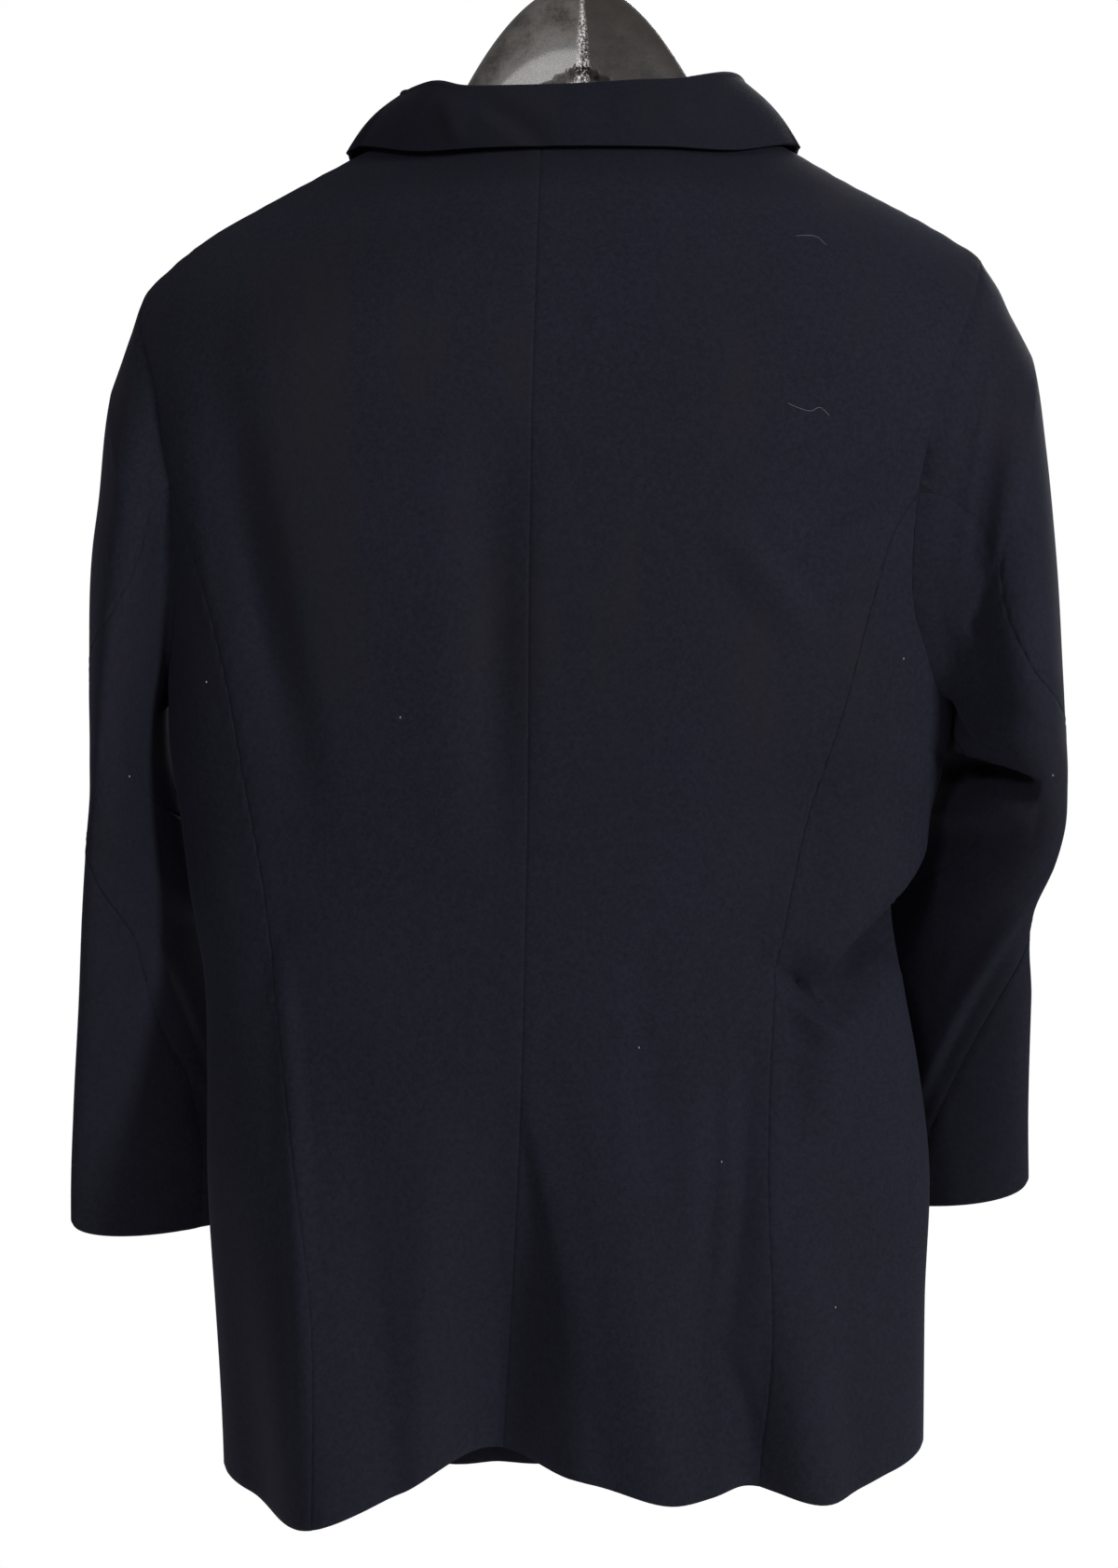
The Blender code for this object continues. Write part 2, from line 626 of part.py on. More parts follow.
def back_panel(side, cloth):
    """From the centre back seam to the armhole and the seam below it."""
    seam_rows, armhole_rows = BACK_SEAM_ROWS[side], BACK_ARMHOLE_ROWS[side]
    tip_x = armhole_rows[0][1]
    z_junction, z_foot = -seam_rows[0][0], seam_foot(BACK_SEAM_COLUMNS, seam_rows, -1)
    outer_z = edge_rows(float(shoulder_z(tip_x)), z_junction, z_foot)
    armhole_x = along_edge(ARMHOLE_COLUMNS, armhole_rows, "across", outer_z)
    seam_x = along_edge(BACK_SEAM_COLUMNS, seam_rows, "across", outer_z) - side * 0.5 * SEAM_GAP
    outer_x = np.where(np.arange(len(outer_z)) < ARMHOLE_STEPS, armhole_x, seam_x)

    z_neck = float(shoulder_z(NECK_HALF)) - NECK_DIP
    centre_foot = seam_foot(CENTRE_BACK_COLUMNS, CENTRE_BACK_ROWS, -1)
    shares = row_shares((z_junction - outer_z[0]) / (z_foot - outer_z[0]))
    centre_z = z_neck + (centre_foot - z_neck) * shares
    centre_x = along_edge(CENTRE_BACK_COLUMNS, CENTRE_BACK_ROWS, "across", centre_z)
    centre_x = centre_x + side * 0.5 * SEAM_GAP

    neck_x = side * NECK_HALF
    top_x = np.concatenate([
        np.linspace(centre_x[0], neck_x, BACK_STEPS_NECK + 1)[:-1],
        np.linspace(neck_x, tip_x, BACK_STEPS_SHOULDER + 1),
    ])
    dip = np.clip(1 - (top_x / NECK_HALF) ** 2, 0, 1) ** NECK_ROUNDNESS
    neck_line = shoulder_z(neck_x) - (shoulder_z(neck_x) - z_neck) * dip / max(dip[0], 1e-6)
    top_z = np.where(np.abs(top_x) < NECK_HALF - 1e-6, neck_line, shoulder_z(top_x))
    foot_x = np.linspace(centre_x[-1], outer_x[-1], len(top_x))
    foot_z = hem_z(turn_at(foot_x, np.full_like(foot_x, HEM_GUESS), -1))
    foot_z[0], foot_z[-1] = centre_z[-1], outer_z[-1]

    across = np.linspace(0, 1, len(top_x))
    flat = patch(
        np.stack([top_x, top_z], -1), np.stack([foot_x, foot_z], -1),
        np.stack([centre_x, centre_z], -1), np.stack([outer_x, outer_z], -1), across, shares,
    )
    turns = turn_at(flat[..., 0], flat[..., 1], -1)
    points, outs = body(turns, flat[..., 1]), body_outward(turns, flat[..., 1])
    on_shoulder = np.abs(top_x) >= NECK_HALF - 1e-6
    outs[0, on_shoulder] = shoulder_outward(top_x[on_shoulder])
    wall(f"back_{side_name(side)}", points, outs, CLOTH, cloth)
    return armhole_edge(armhole_x, outer_z, -1)


def front_panel(side, cloth):
    """From the front edge to the armhole and the seam below it. The right one laps over."""
    armhole_rows = FRONT_ARMHOLE_ROWS[side]
    tip_x = armhole_rows[0][1]
    z_junction, z_foot = -armhole_rows[-1][0], front_seam_foot(side)
    outer_z = edge_rows(float(shoulder_z(tip_x)), z_junction, z_foot)
    armhole_x = along_edge(ARMHOLE_COLUMNS, armhole_rows, "across", outer_z)
    corner_shift = front_seam_x(side, np.array(z_junction)) - armhole_x[ARMHOLE_STEPS]
    armhole_x = armhole_x + corner_shift * smooth_step(outer_z[0], z_junction, outer_z)
    seam_x = front_seam_x(side, outer_z) - side * 0.5 * SEAM_GAP
    outer_x = np.where(np.arange(len(outer_z)) < ARMHOLE_STEPS, armhole_x, seam_x)

    neck_x = side * NECK_HALF
    z_neck, edge_foot = float(shoulder_z(neck_x)), -FRONT_EDGE_ROWS[-1][0]
    shares = row_shares((z_junction - outer_z[0]) / (z_foot - outer_z[0]))
    edge_z = z_neck + (edge_foot - z_neck) * shares
    edge_x = side * along_edge(FRONT_EDGE_COLUMNS, FRONT_EDGE_ROWS, "across", edge_z)

    across = np.linspace(0, 1, FRONT_STEPS + 1)
    top_x = neck_x + (tip_x - neck_x) * across
    foot_x = edge_x[-1] + (outer_x[-1] - edge_x[-1]) * across
    foot_z = hem_z(turn_at(foot_x, np.full_like(foot_x, HEM_GUESS), 1))
    foot_z[0], foot_z[-1] = edge_z[-1], outer_z[-1]
    flat = patch(
        np.stack([top_x, shoulder_z(top_x)], -1), np.stack([foot_x, foot_z], -1),
        np.stack([edge_x, edge_z], -1), np.stack([outer_x, outer_z], -1), across, shares,
    )
    x, z = flat[..., 0], flat[..., 1]
    turns = side * 180.0 - turn_at(x, z, -1)
    points, outs = body(turns, z), body_outward(turns, z)
    outs[0] = shoulder_outward(top_x)
    wall(f"front_{side_name(side)}", points, outs, CLOTH, cloth)
    return armhole_edge(armhole_x, outer_z, 1)


def armhole_edge(armhole_x, outer_z, facing):
    """A panel's edge from the shoulder to the armhole's corner, with its outward directions."""
    x, z = armhole_x[:ARMHOLE_STEPS + 1], outer_z[:ARMHOLE_STEPS + 1]
    turns = turn_at(x, z, facing)
    outs = body_outward(turns, z)
    outs[0] = shoulder_outward(x[:1])[0]
    return body(turns, z), outs


def side_panel(side, cloth):
    """Round the side under the arm, between the back seam and the front seam."""
    back_rows = BACK_SEAM_ROWS[side]
    z_top = -back_rows[0][0]
    back_z = np.linspace(z_top, seam_foot(BACK_SEAM_COLUMNS, back_rows, -1), SEAM_STEPS + 1)
    back_x = along_edge(BACK_SEAM_COLUMNS, back_rows, "across", back_z) + side * 0.5 * SEAM_GAP
    back_turn = np.abs(turn_at(back_x, back_z, -1))
    front_z = np.linspace(-FRONT_SEAM_ROWS[0][0], front_seam_foot(side), SEAM_STEPS + 1)
    front_x = front_seam_x(side, front_z) + side * 0.5 * SEAM_GAP
    front_turn = 180.0 - np.abs(turn_at(front_x, front_z, -1))

    across, down = np.linspace(0, 1, SIDE_STEPS + 1), np.linspace(0, 1, SEAM_STEPS + 1)
    curve_turn, curve_drop = underarm_curve(side, across)
    top = np.stack([curve_turn, -curve_drop], -1)
    top[0], top[-1] = (back_turn[0], back_z[0]), (front_turn[0], front_z[0])
    foot_turn = back_turn[-1] + (front_turn[-1] - back_turn[-1]) * across
    foot = np.stack([foot_turn, hem_z(side * foot_turn)], -1)
    foot[0], foot[-1] = (back_turn[-1], back_z[-1]), (front_turn[-1], front_z[-1])
    flat = patch(
        top, foot, np.stack([back_turn, back_z], -1), np.stack([front_turn, front_z], -1), across, down,
    )
    turns = side * flat[..., 0]
    wall(
        f"side_{side_name(side)}", body(turns, flat[..., 1]), body_outward(turns, flat[..., 1]),
        CLOTH, cloth,
    )
    edge_turns = side * top[:, 0]
    return body(edge_turns, top[:, 1]), body_outward(edge_turns, top[:, 1])


def underarm_curve(side, shares):
    """The bottom of the armhole, spaced evenly by length."""
    rows = UNDERARM_ROWS[side]
    fine = np.linspace(rows[0][0], rows[-1][0], 200)
    drops = column(UNDERARM_COLUMNS, rows, "drop", fine)
    steps = np.hypot(np.radians(np.diff(fine)) * UNDERARM_RADIUS, np.diff(drops))
    length = np.concatenate([[0], np.cumsum(steps)]) / np.sum(steps)
    turns = np.interp(shares, length, fine)
    return turns, column(UNDERARM_COLUMNS, rows, "drop", turns)


def sleeve_tube(side, turn, z):
    """The sleeve's outer face. turn is 0 outermost, 90 at the back, 180 next to the body."""
    rows = SLEEVE_ROWS[side]
    outer, wide, thin, yaw, ahead = [column(SLEEVE_COLUMNS, rows, n, -z) for n in SLEEVE_COLUMNS[1:]]
    yaw = np.radians(yaw)
    reach = np.hypot(wide * np.sin(yaw), thin * np.cos(yaw))
    middle = outer - side * reach
    cosine, sine = np.cos(np.radians(turn)), np.sin(np.radians(turn))
    x = middle + thin * cosine * side * np.cos(yaw) + wide * sine * side * np.sin(yaw)
    y = ahead + thin * cosine * np.sin(yaw) - wide * sine * np.cos(yaw)
    return np.stack([x, y, z], axis=-1)


def cuff_z(side, turn):
    drop, low_turn, rise = CUFF_ROWS[side]
    return -drop + rise * (1 - np.cos(np.radians(turn - low_turn)))


def sleeve_shares():
    lower = np.linspace(SLEEVE_TOP_STEPS[-1], 1.0, SLEEVE_LOWER_STEPS + 1)[1:]
    return np.concatenate([SLEEVE_TOP_STEPS, lower])


def seam_turns(side, share, z):
    """The back seam's turn at a height, and the front seam's. Both start at the armhole's corners."""
    settled = smooth_step(0.0, SEAM_SETTLES, share)
    back = column(SLEEVE_SEAM_COLUMNS, SLEEVE_SEAM_ROWS[side], "turn", -z)
    back = SEAM_START + (back - SEAM_START) * settled
    return back, back + UNDER_SLEEVE_SPAN - UNDER_SLEEVE_NARROWS * share


def sleeve_grid(side, loop, under, centre_turn):
    """Lines down the sleeve from the armhole's points, spread between its two seams."""
    shares = sleeve_shares()
    even = np.linspace(0, 1, len(loop))
    first = even
    if under:
        wide, ahead = [column(SLEEVE_COLUMNS, SLEEVE_ROWS[side], n, -loop[:, 2]) for n in ("wide", "ahead")]
        level = np.degrees(np.arcsin(np.clip((ahead - loop[:, 1]) / wide, -0.95, 0.95)))
        first = np.clip((180.0 - level - SEAM_START) / UNDER_SLEEVE_SPAN, 0, 1)
        first[0], first[-1] = 0.0, 1.0
    points, tubes = np.zeros((len(shares), len(loop), 3)), np.zeros((len(shares), len(loop), 3))
    for row, share in enumerate(shares):
        z = loop[:, 2] + (cuff_z(side, centre_turn) - loop[:, 2]) * share
        for _ in range(3):
            back, front = seam_turns(side, share, z)
            back = back + np.where(under, 1, -1) * 0.75 * SEAM_GAP / seam_speed(side, back, z)
            front = front + np.where(under, -1, 1) * 0.75 * SEAM_GAP / seam_speed(side, front, z)
            start, end = (back, front) if under else (front - 360, back)
            spread = first + (even - first) * smooth_step(0.0, SEAM_SETTLES, share)
            turns = start + (end - start) * spread
            z = loop[:, 2] + (cuff_z(side, turns) - loop[:, 2]) * share
        tube = sleeve_tube(side, turns, z)
        inside = 0.5 - 0.5 * np.cos(np.radians(turns))
        joined = np.clip(share / SLEEVE_JOIN, 0, 1) ** (JOIN_OUTSIDE + (JOIN_INSIDE - JOIN_OUTSIDE) * inside)
        points[row] = loop + (tube - loop) * joined[:, None]
        points[row, :, 2] = z
        tubes[row] = sleeve_outward(side, turns, z)
    outs = grid_outward(points, -side)
    joined = smooth_step(0.3 * SLEEVE_JOIN, 1.2 * SLEEVE_JOIN, shares)[:, None, None]
    return points, unit(outs * (1 - joined) + tubes * joined)


def sleeve_outward(side, turn, z):
    return outward(lambda a, b: sleeve_tube(side, a, b), turn, z) * -side


def grid_outward(points, side):
    down = np.gradient(points, axis=0)
    across = np.gradient(points, axis=1)
    return unit(np.cross(down, across)) * side


def seam_speed(side, turn, z):
    """How far a sleeve's outer face moves for each degree of turn."""
    return np.linalg.norm(sleeve_tube(side, turn + 0.5, z) - sleeve_tube(side, turn - 0.5, z), axis=-1)


def sleeve(side, back_loop, under_loop, front_loop, cloth):
    """Top sleeve and under sleeve, from the armhole's three edges."""
    (back_edge, back_outs), (under_edge, under_outs), (front_edge, front_outs) = (
        back_loop, under_loop, front_loop,
    )
    centre = np.mean(np.concatenate([front_edge, under_edge, back_edge]), axis=0)
    top_edge = np.concatenate([front_edge[::-1], back_edge[1:]])
    top_outs = np.concatenate([front_outs[::-1], back_outs[1:]])
    under_edge = under_edge.copy()
    for edge in (top_edge, under_edge):
        for end, inner in ((0, 1), (-1, -2)):
            edge[end] = edge[end] + unit(edge[inner] - edge[end]) * SEAM_GAP
    top = sleeve_half(side, top_edge, top_outs, False, centre)
    under = sleeve_half(side, under_edge, under_outs, True, centre)
    for top_column, under_column in ((-1, 0), (0, -1)):
        shared = unit(top[1][:, top_column] + under[1][:, under_column])
        top[1][:, top_column], under[1][:, under_column] = shared, shared
    wall(f"top_sleeve_{side_name(side)}", top[0], top[1], CLOTH, cloth)
    wall(f"under_sleeve_{side_name(side)}", under[0], under[1], CLOTH, cloth)


def off_panel(edge, edge_outs, centre):
    """The direction in the body's surface that leaves the panels and enters the armhole."""
    across = unit(np.cross(np.gradient(edge, axis=0), edge_outs))
    towards = np.sum(across * (centre - edge), axis=-1, keepdims=True)
    return across * np.sign(towards)


def sleeve_half(side, edge, edge_outs, under, centre):
    points, outs = sleeve_grid(side, edge, under, 180.0 if under else 0.0)
    span = UNDER_SLEEVE_SPAN if under else 360.0 - UNDER_SLEEVE_SPAN
    turns = (180.0 if under else 0.0) + np.linspace(-0.5, 0.5, len(edge)) * span
    inside = smooth_step(LEAVES_FROM, LEAVES_TO, 180.0 - np.abs(np.abs(turns) - 180.0))[:, None]
    leave = unit(off_panel(edge, edge_outs, centre) * (1 - inside) + edge_outs * inside)
    points[0] = edge + ARMHOLE_GAP * leave
    outs[0] = unit(edge_outs * (1 - inside) + outs[0] * inside)
    return points, outs


def collar_round():
    return np.linspace(-1, 1, COLLAR_STEPS + 1)


def collar_column(columns, rows, name, places):
    return column(columns, rows, name, np.abs(places))


def collar_roll():
    places = collar_round()
    x = COLLAR_CENTRE + np.sign(places) * collar_column(COLLAR_COLUMNS, COLLAR_ROWS, "roll_x", places)
    y = collar_column(COLLAR_COLUMNS, COLLAR_ROWS, "roll_y", places)
    z = -collar_column(COLLAR_COLUMNS, COLLAR_ROWS, "roll_drop", places)
    return np.stack([x, y, z], -1)


def collar_edge():
    places = collar_round()
    x = COLLAR_CENTRE + np.sign(places) * collar_column(COLLAR_COLUMNS, COLLAR_ROWS, "edge_x", places)
    drop = collar_column(COLLAR_COLUMNS, COLLAR_ROWS, "edge_drop", places)
    swing = smooth_step(0.50, 0.68, np.abs(places))
    z = np.minimum(-drop, shoulder_z(x) - 0.0005)
    back_turn, front_turn = turn_at(x, z, -1), turn_at(x, z, 1)
    back, front = body(back_turn, z), body(front_turn, z)
    back_outs, front_outs = body_outward(back_turn, z), body_outward(front_turn, z)
    mix = swing[:, None]
    outs = unit(back_outs * (1 - mix) + front_outs * mix)
    return back * (1 - mix) + front * mix + outs * COLLAR_LIFT, outs


def collar_fall(cloth):
    """Turns over the roll, then lies down the back and over the shoulders."""
    roll, (edge, edge_outs) = collar_roll(), collar_edge()
    level = edge - roll
    level[:, 2] = 0
    out = unit(level)
    up = np.array([0.0, 0.0, 1.0])
    shoulder = roll + out * ROLL_OUT + up * (ROLL_UP - ROLL_SAG)
    rows = [roll + up * ROLL_UP - out * ROLL_IN, roll + out * 0.5 * ROLL_OUT + up * (ROLL_UP + ROLL_CROWN)]
    for step in range(COLLAR_FALL_STEPS + 1):
        part = step / COLLAR_FALL_STEPS
        belly = edge_outs * COLLAR_BELLY * math.sin(math.pi * part)
        rows.append(shoulder + (edge - shoulder) * part + belly)
    points = np.array(rows)
    outs = grid_outward(points, 1)
    outs[0] = unit(up - out * 0.2)
    wall("collar_fall", points, outs, COLLAR_CLOTH, cloth)


def collar_stand(cloth):
    """The band inside the collar, from the neckline up to just under the roll."""
    places = collar_round()
    x = COLLAR_CENTRE + np.sign(places) * collar_column(STAND_COLUMNS, STAND_ROWS, "x", places)
    y = collar_column(STAND_COLUMNS, STAND_ROWS, "y", places)
    z = -collar_column(STAND_COLUMNS, STAND_ROWS, "drop", places)
    foot = np.stack([x, y, z], -1)
    top = collar_roll()
    points = np.array([top + (foot - top) * step / STAND_STEPS for step in range(STAND_STEPS + 1)])
    wall("collar_stand", points, grid_outward(points, 1), STAND_CLOTH, cloth)


def lapel(side, cloth):
    """Lies on the front's own points, moved out, from the roll to the free edge."""
    rows = LAPEL_ROWS[side]
    down = np.linspace(0, 1, LAPEL_STEPS_DOWN + 1)
    roll_x, roll_drop, edge_x, edge_drop = [
        column(LAPEL_COLUMNS, rows, name, down) for name in LAPEL_COLUMNS[1:]
    ]
    across = np.linspace(0, 1, LAPEL_STEPS_ACROSS + 1)
    x = roll_x[:, None] + (edge_x - roll_x)[:, None] * across
    z = -(roll_drop[:, None] + (edge_drop - roll_drop)[:, None] * across)
    turns = side * 180.0 - turn_at(x, z, -1)
    outs = body_outward(turns, z)
    roll = np.exp(-((across - LAPEL_ROLL_AT) / LAPEL_ROLL_SPREAD) ** 2)
    lift = COLLAR_CLOTH + LAPEL_CLEAR + LAPEL_ROLL * roll
    points = body(turns, z) + outs * lift[None, :, None]
    wall(f"lapel_{side_name(side)}", points, outs, COLLAR_CLOTH, cloth)


def button(name, drop, horn):
    """A turned button with a raised rim, on the right front's outer face."""
    turn, z = 180.0 - turn_at(np.array(BUTTON_X), np.array(-drop), -1), np.array(-drop)
    centre, out = body(turn, z), body_outward(turn, z)
    side = unit(np.cross(out, [0.0, 0.0, 1.0]))
    up = np.cross(side, out)
    points = []
    base = centre + out * BUTTON_CLEAR
    for radius, height in BUTTON_PROFILE:
        for step in range(BUTTON_ROUND):
            angle = 2 * math.pi * step / BUTTON_ROUND
            points.append(base + out * height + (side * math.cos(angle) + up * math.sin(angle)) * radius)
    solid(name, points, ring_faces(len(BUTTON_PROFILE), BUTTON_ROUND), horn)


def ring_faces(rings, steps):
    """Skin over closed rings of points, with a flat face at each end."""
    faces = []
    for ring in range(rings - 1):
        low, high = ring * steps, (ring + 1) * steps
        for step in range(steps):
            following = (step + 1) % steps
            faces.append([low + step, low + following, high + following, high + step])
    faces.append(list(range(steps))[::-1])
    faces.append([(rings - 1) * steps + step for step in range(steps)])
    return faces


def hanger_section(x):
    """Top, foot and half depth of the hanger where it crosses x."""
    side = LEFT if x < 0 else RIGHT
    reach = abs(x) / abs(ARM_TIP[side])
    dome_top = -DOME_TOP_DROP - x * x / DOME_CURVE
    arm_top = float(shoulder_z(np.array(x))) - ARM_CLEAR
    tall = ARM_TALL_NECK + (ARM_TALL_TIP - ARM_TALL_NECK) * float(smooth_step(0.3, 1.0, reach))
    settled = float(smooth_step(0.0, DOME_FOOT_HALF, abs(x)))
    foot = -DOME_FOOT_DROP * (1 - settled) + (arm_top - tall) * settled
    arm_deep = ARM_DEEP_NECK + (ARM_DEEP_TIP - ARM_DEEP_NECK) * reach
    return max(dome_top, arm_top), foot, max(CREASE_DEPTH - CREASE_SLOPE * abs(x), arm_deep)


def hanger_body(plastic):
    stations = np.concatenate([
        np.linspace(ARM_TIP[LEFT], -0.005, HANGER_STATIONS),
        [0.0],
        np.linspace(0.005, ARM_TIP[RIGHT], HANGER_STATIONS),
    ])
    points = []
    for x in stations:
        top, foot, deep = hanger_section(float(x))
        middle, half = (top + foot) / 2, (top - foot) / 2
        for step in range(HANGER_ROUND):
            angle = 2 * math.pi * step / HANGER_ROUND
            cosine, sine = math.cos(angle), math.sin(angle)
            z = middle + half * math.copysign(abs(cosine) ** HANGER_SQUARE, cosine)
            y = deep * math.copysign(abs(sine) ** HANGER_SQUARE, sine)
            points.append((x, y, z))
    solid("hanger_body", points, ring_faces(len(stations), HANGER_ROUND), plastic)


def hook_route():
    """Up out of the hanger, out to one side, and round over the rail."""
    centre_z = -(HOOK_BEND - HOOK_WIRE)
    bend = []
    for degrees in range(HOOK_START, HOOK_END, HOOK_STEP):
        angle = math.radians(degrees)
        bend.append((HOOK_BEND * math.cos(angle), centre_z + HOOK_BEND * math.sin(angle)))
    return list(HOOK_SHANK) + bend


def hook(steel):
    route = hook_route()
    curve = bpy.data.curves.new("hanger_hook", "CURVE")
    curve.dimensions = "3D"
    curve.bevel_depth = HOOK_WIRE
    curve.bevel_resolution = 2
    curve.use_fill_caps = True
    line = curve.splines.new("POLY")
    line.points.add(len(route) - 1)
    for point, (x, z) in zip(line.points, route):
        point.co = (x, 0.0, z, 1.0)
    curve.materials.append(steel)
    piece = bpy.data.objects.new("hanger_hook", curve)
    bpy.context.scene.collection.objects.link(piece)


def main():
    for item in list(bpy.data.objects):
        bpy.data.objects.remove(item, do_unlink=True)
    wool = finish("navy_wool", (0.013, 0.013, 0.022), 0.85)
    horn = finish("dark_horn", (0.020, 0.018, 0.020), 0.35)
    plastic = finish("hanger_plastic", (0.030, 0.025, 0.022), 0.22)
    steel = finish("hook_steel", (0.62, 0.62, 0.62), 0.25, 1.0)
    for side in (LEFT, RIGHT):
        back_loop = back_panel(side, wool)
        under_loop = side_panel(side, wool)
        front_loop = front_panel(side, wool)
        sleeve(side, back_loop, under_loop, front_loop, wool)
        lapel(side, wool)
    collar_fall(wool)
    collar_stand(wool)
    for name, drop in BUTTON_DROPS.items():
        button(name, drop, horn)
    hanger_body(plastic)
    hook(steel)


main()
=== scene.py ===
import math

import bmesh
import bpy
import numpy as np
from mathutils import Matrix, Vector


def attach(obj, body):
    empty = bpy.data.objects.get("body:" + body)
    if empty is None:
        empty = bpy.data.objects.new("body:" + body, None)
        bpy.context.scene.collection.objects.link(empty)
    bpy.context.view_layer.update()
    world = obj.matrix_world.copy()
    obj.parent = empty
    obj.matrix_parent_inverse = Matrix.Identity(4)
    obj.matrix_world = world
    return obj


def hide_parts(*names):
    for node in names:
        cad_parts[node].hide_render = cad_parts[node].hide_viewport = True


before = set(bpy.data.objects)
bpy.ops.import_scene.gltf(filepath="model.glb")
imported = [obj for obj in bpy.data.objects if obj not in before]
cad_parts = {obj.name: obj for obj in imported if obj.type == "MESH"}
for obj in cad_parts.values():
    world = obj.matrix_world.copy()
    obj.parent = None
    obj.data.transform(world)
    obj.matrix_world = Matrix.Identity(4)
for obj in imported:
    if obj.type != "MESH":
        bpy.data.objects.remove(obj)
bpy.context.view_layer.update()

# Camera, light and floor
# The jacket is seen square from the back, from its own half height, in an even white light
# with a stronger soft lamp on the right. The floor lies below the hanging jacket.
EYE = (-0.0115, -1.5, -0.485)
LENS, FILM = 64.2, 36.0
FLOOR_Z, FLOOR_RADIUS = -1.20, 0.98
AMBIENT = 0.25

camera = bpy.data.objects.new("camera", bpy.data.cameras.new("camera"))
camera.location = EYE
camera.rotation_euler = (math.pi / 2, 0.0, 0.0)
camera.data.lens, camera.data.sensor_width = LENS, FILM
bpy.context.scene.collection.objects.link(camera)
bpy.context.scene.camera = camera
bpy.context.scene.view_settings.view_transform = "Standard"

world = bpy.data.worlds.new("studio")
bpy.context.scene.world = world
world.use_nodes = True
sky = world.node_tree.nodes
sky["Background"].inputs["Color"].default_value = (1.0, 1.0, 1.0, 1.0)
sky["Background"].inputs["Strength"].default_value = AMBIENT
white, mixed, seen = [
    sky.new(kind) for kind in ("ShaderNodeBackground", "ShaderNodeMixShader", "ShaderNodeLightPath")
]
white.inputs["Color"].default_value = (1.0, 1.0, 1.0, 1.0)
world.node_tree.links.new(seen.outputs["Is Camera Ray"], mixed.inputs[0])
world.node_tree.links.new(sky["Background"].outputs[0], mixed.inputs[1])
world.node_tree.links.new(white.outputs[0], mixed.inputs[2])
world.node_tree.links.new(mixed.outputs[0], sky["World Output"].inputs["Surface"])


def hang_lamp(name, place, aim, size, power):
    lamp = bpy.data.objects.new(name, bpy.data.lights.new(name, "AREA"))
    lamp.data.shape, lamp.data.size, lamp.data.energy = "DISK", size, power
    lamp.location = place
    lamp.rotation_euler = (Vector(aim) - Vector(place)).to_track_quat("-Z", "Y").to_euler()
    bpy.context.scene.collection.objects.link(lamp)


hang_lamp("lamp_right", (1.75, -1.50, 0.05), (0.0, 0.0, -0.50), 0.5, 43.0)
hang_lamp("lamp_near_left", (-0.62, -1.95, 0.48), (0.0, 0.0, -0.20), 0.6, 14.0)
hang_lamp("lamp_front", (0.9, 1.9, 0.7), (0.0, 0.0, -0.45), 1.2, 45.0)


class Socket:
    """A value in a material. Sums on it add the nodes that work them out."""

    def __init__(self, finish, link):
        self.finish, self.link = finish, link

    def sum(self, operation, first, second=0.0):
        return self.finish.node("ShaderNodeMath", {"operation": operation}, {0: first, 1: second})

    def __add__(self, other):
        return self.sum("ADD", self, other)

    def __sub__(self, other):
        return self.sum("SUBTRACT", self, other)

    def __rsub__(self, other):
        return self.sum("SUBTRACT", other, self)

    def __mul__(self, other):
        return self.sum("MULTIPLY", self, other)


class Finish:
    """A material: its fixed values, then what changes over the surface."""

    def __init__(self, name, **fixed):
        self.data = bpy.data.materials.new(name)
        self.data.use_nodes = True
        self.shader = self.data.node_tree.nodes["Principled BSDF"]
        for socket, value in fixed.items():
            self.shader.inputs[socket.replace("_", " ")].default_value = value

    def node(self, kind, settings, values, output=0):
        node = self.data.node_tree.nodes.new(kind)
        for key, value in settings.items():
            setattr(node, key, value)
        for key, value in values.items():
            if isinstance(value, Socket):
                self.data.node_tree.links.new(value.link, node.inputs[key])
            else:
                node.inputs[key].default_value = value
        return Socket(self, node.outputs[output])

    def place(self):
        return self.node("ShaderNodeTexCoord", {}, {}, "Object")

    def axis(self, place, name):
        return self.node("ShaderNodeSeparateXYZ", {}, {"Vector": place}, name)

    def noise(self, place, scale, detail=3.0, rough=0.5):
        values = {"Vector": place, "Scale": scale, "Detail": detail, "Roughness": rough}
        return self.node("ShaderNodeTexNoise", {}, values)

    def stretch(self, place, scale):
        return self.node("ShaderNodeVectorMath", {"operation": "MULTIPLY"}, {0: place, 1: scale})

    def blend(self, share, first, second):
        mix = {"data_type": "RGBA", "blend_type": "MIX", "clamp_factor": True}
        return self.node("ShaderNodeMix", mix, {0: share, 6: first, 7: second}, 2)

    def steps(self, value, low, high, low_to=0.0, high_to=1.0):
        numbers = {"Value": value, "From Min": low, "From Max": high, "To Min": low_to, "To Max": high_to}
        return self.node("ShaderNodeMapRange", {"interpolation_type": "SMOOTHSTEP"}, numbers)

    def bump(self, height, depth, normal=None):
        values = {"Height": height, "Distance": depth, "Strength": 1.0}
        if normal is not None:
            values["Normal"] = normal
        return self.node("ShaderNodeBump", {}, values)

    def feed(self, **sockets):
        for name, value in sockets.items():
            self.data.node_tree.links.new(value.link, self.shader.inputs[name.replace("_", " ")])


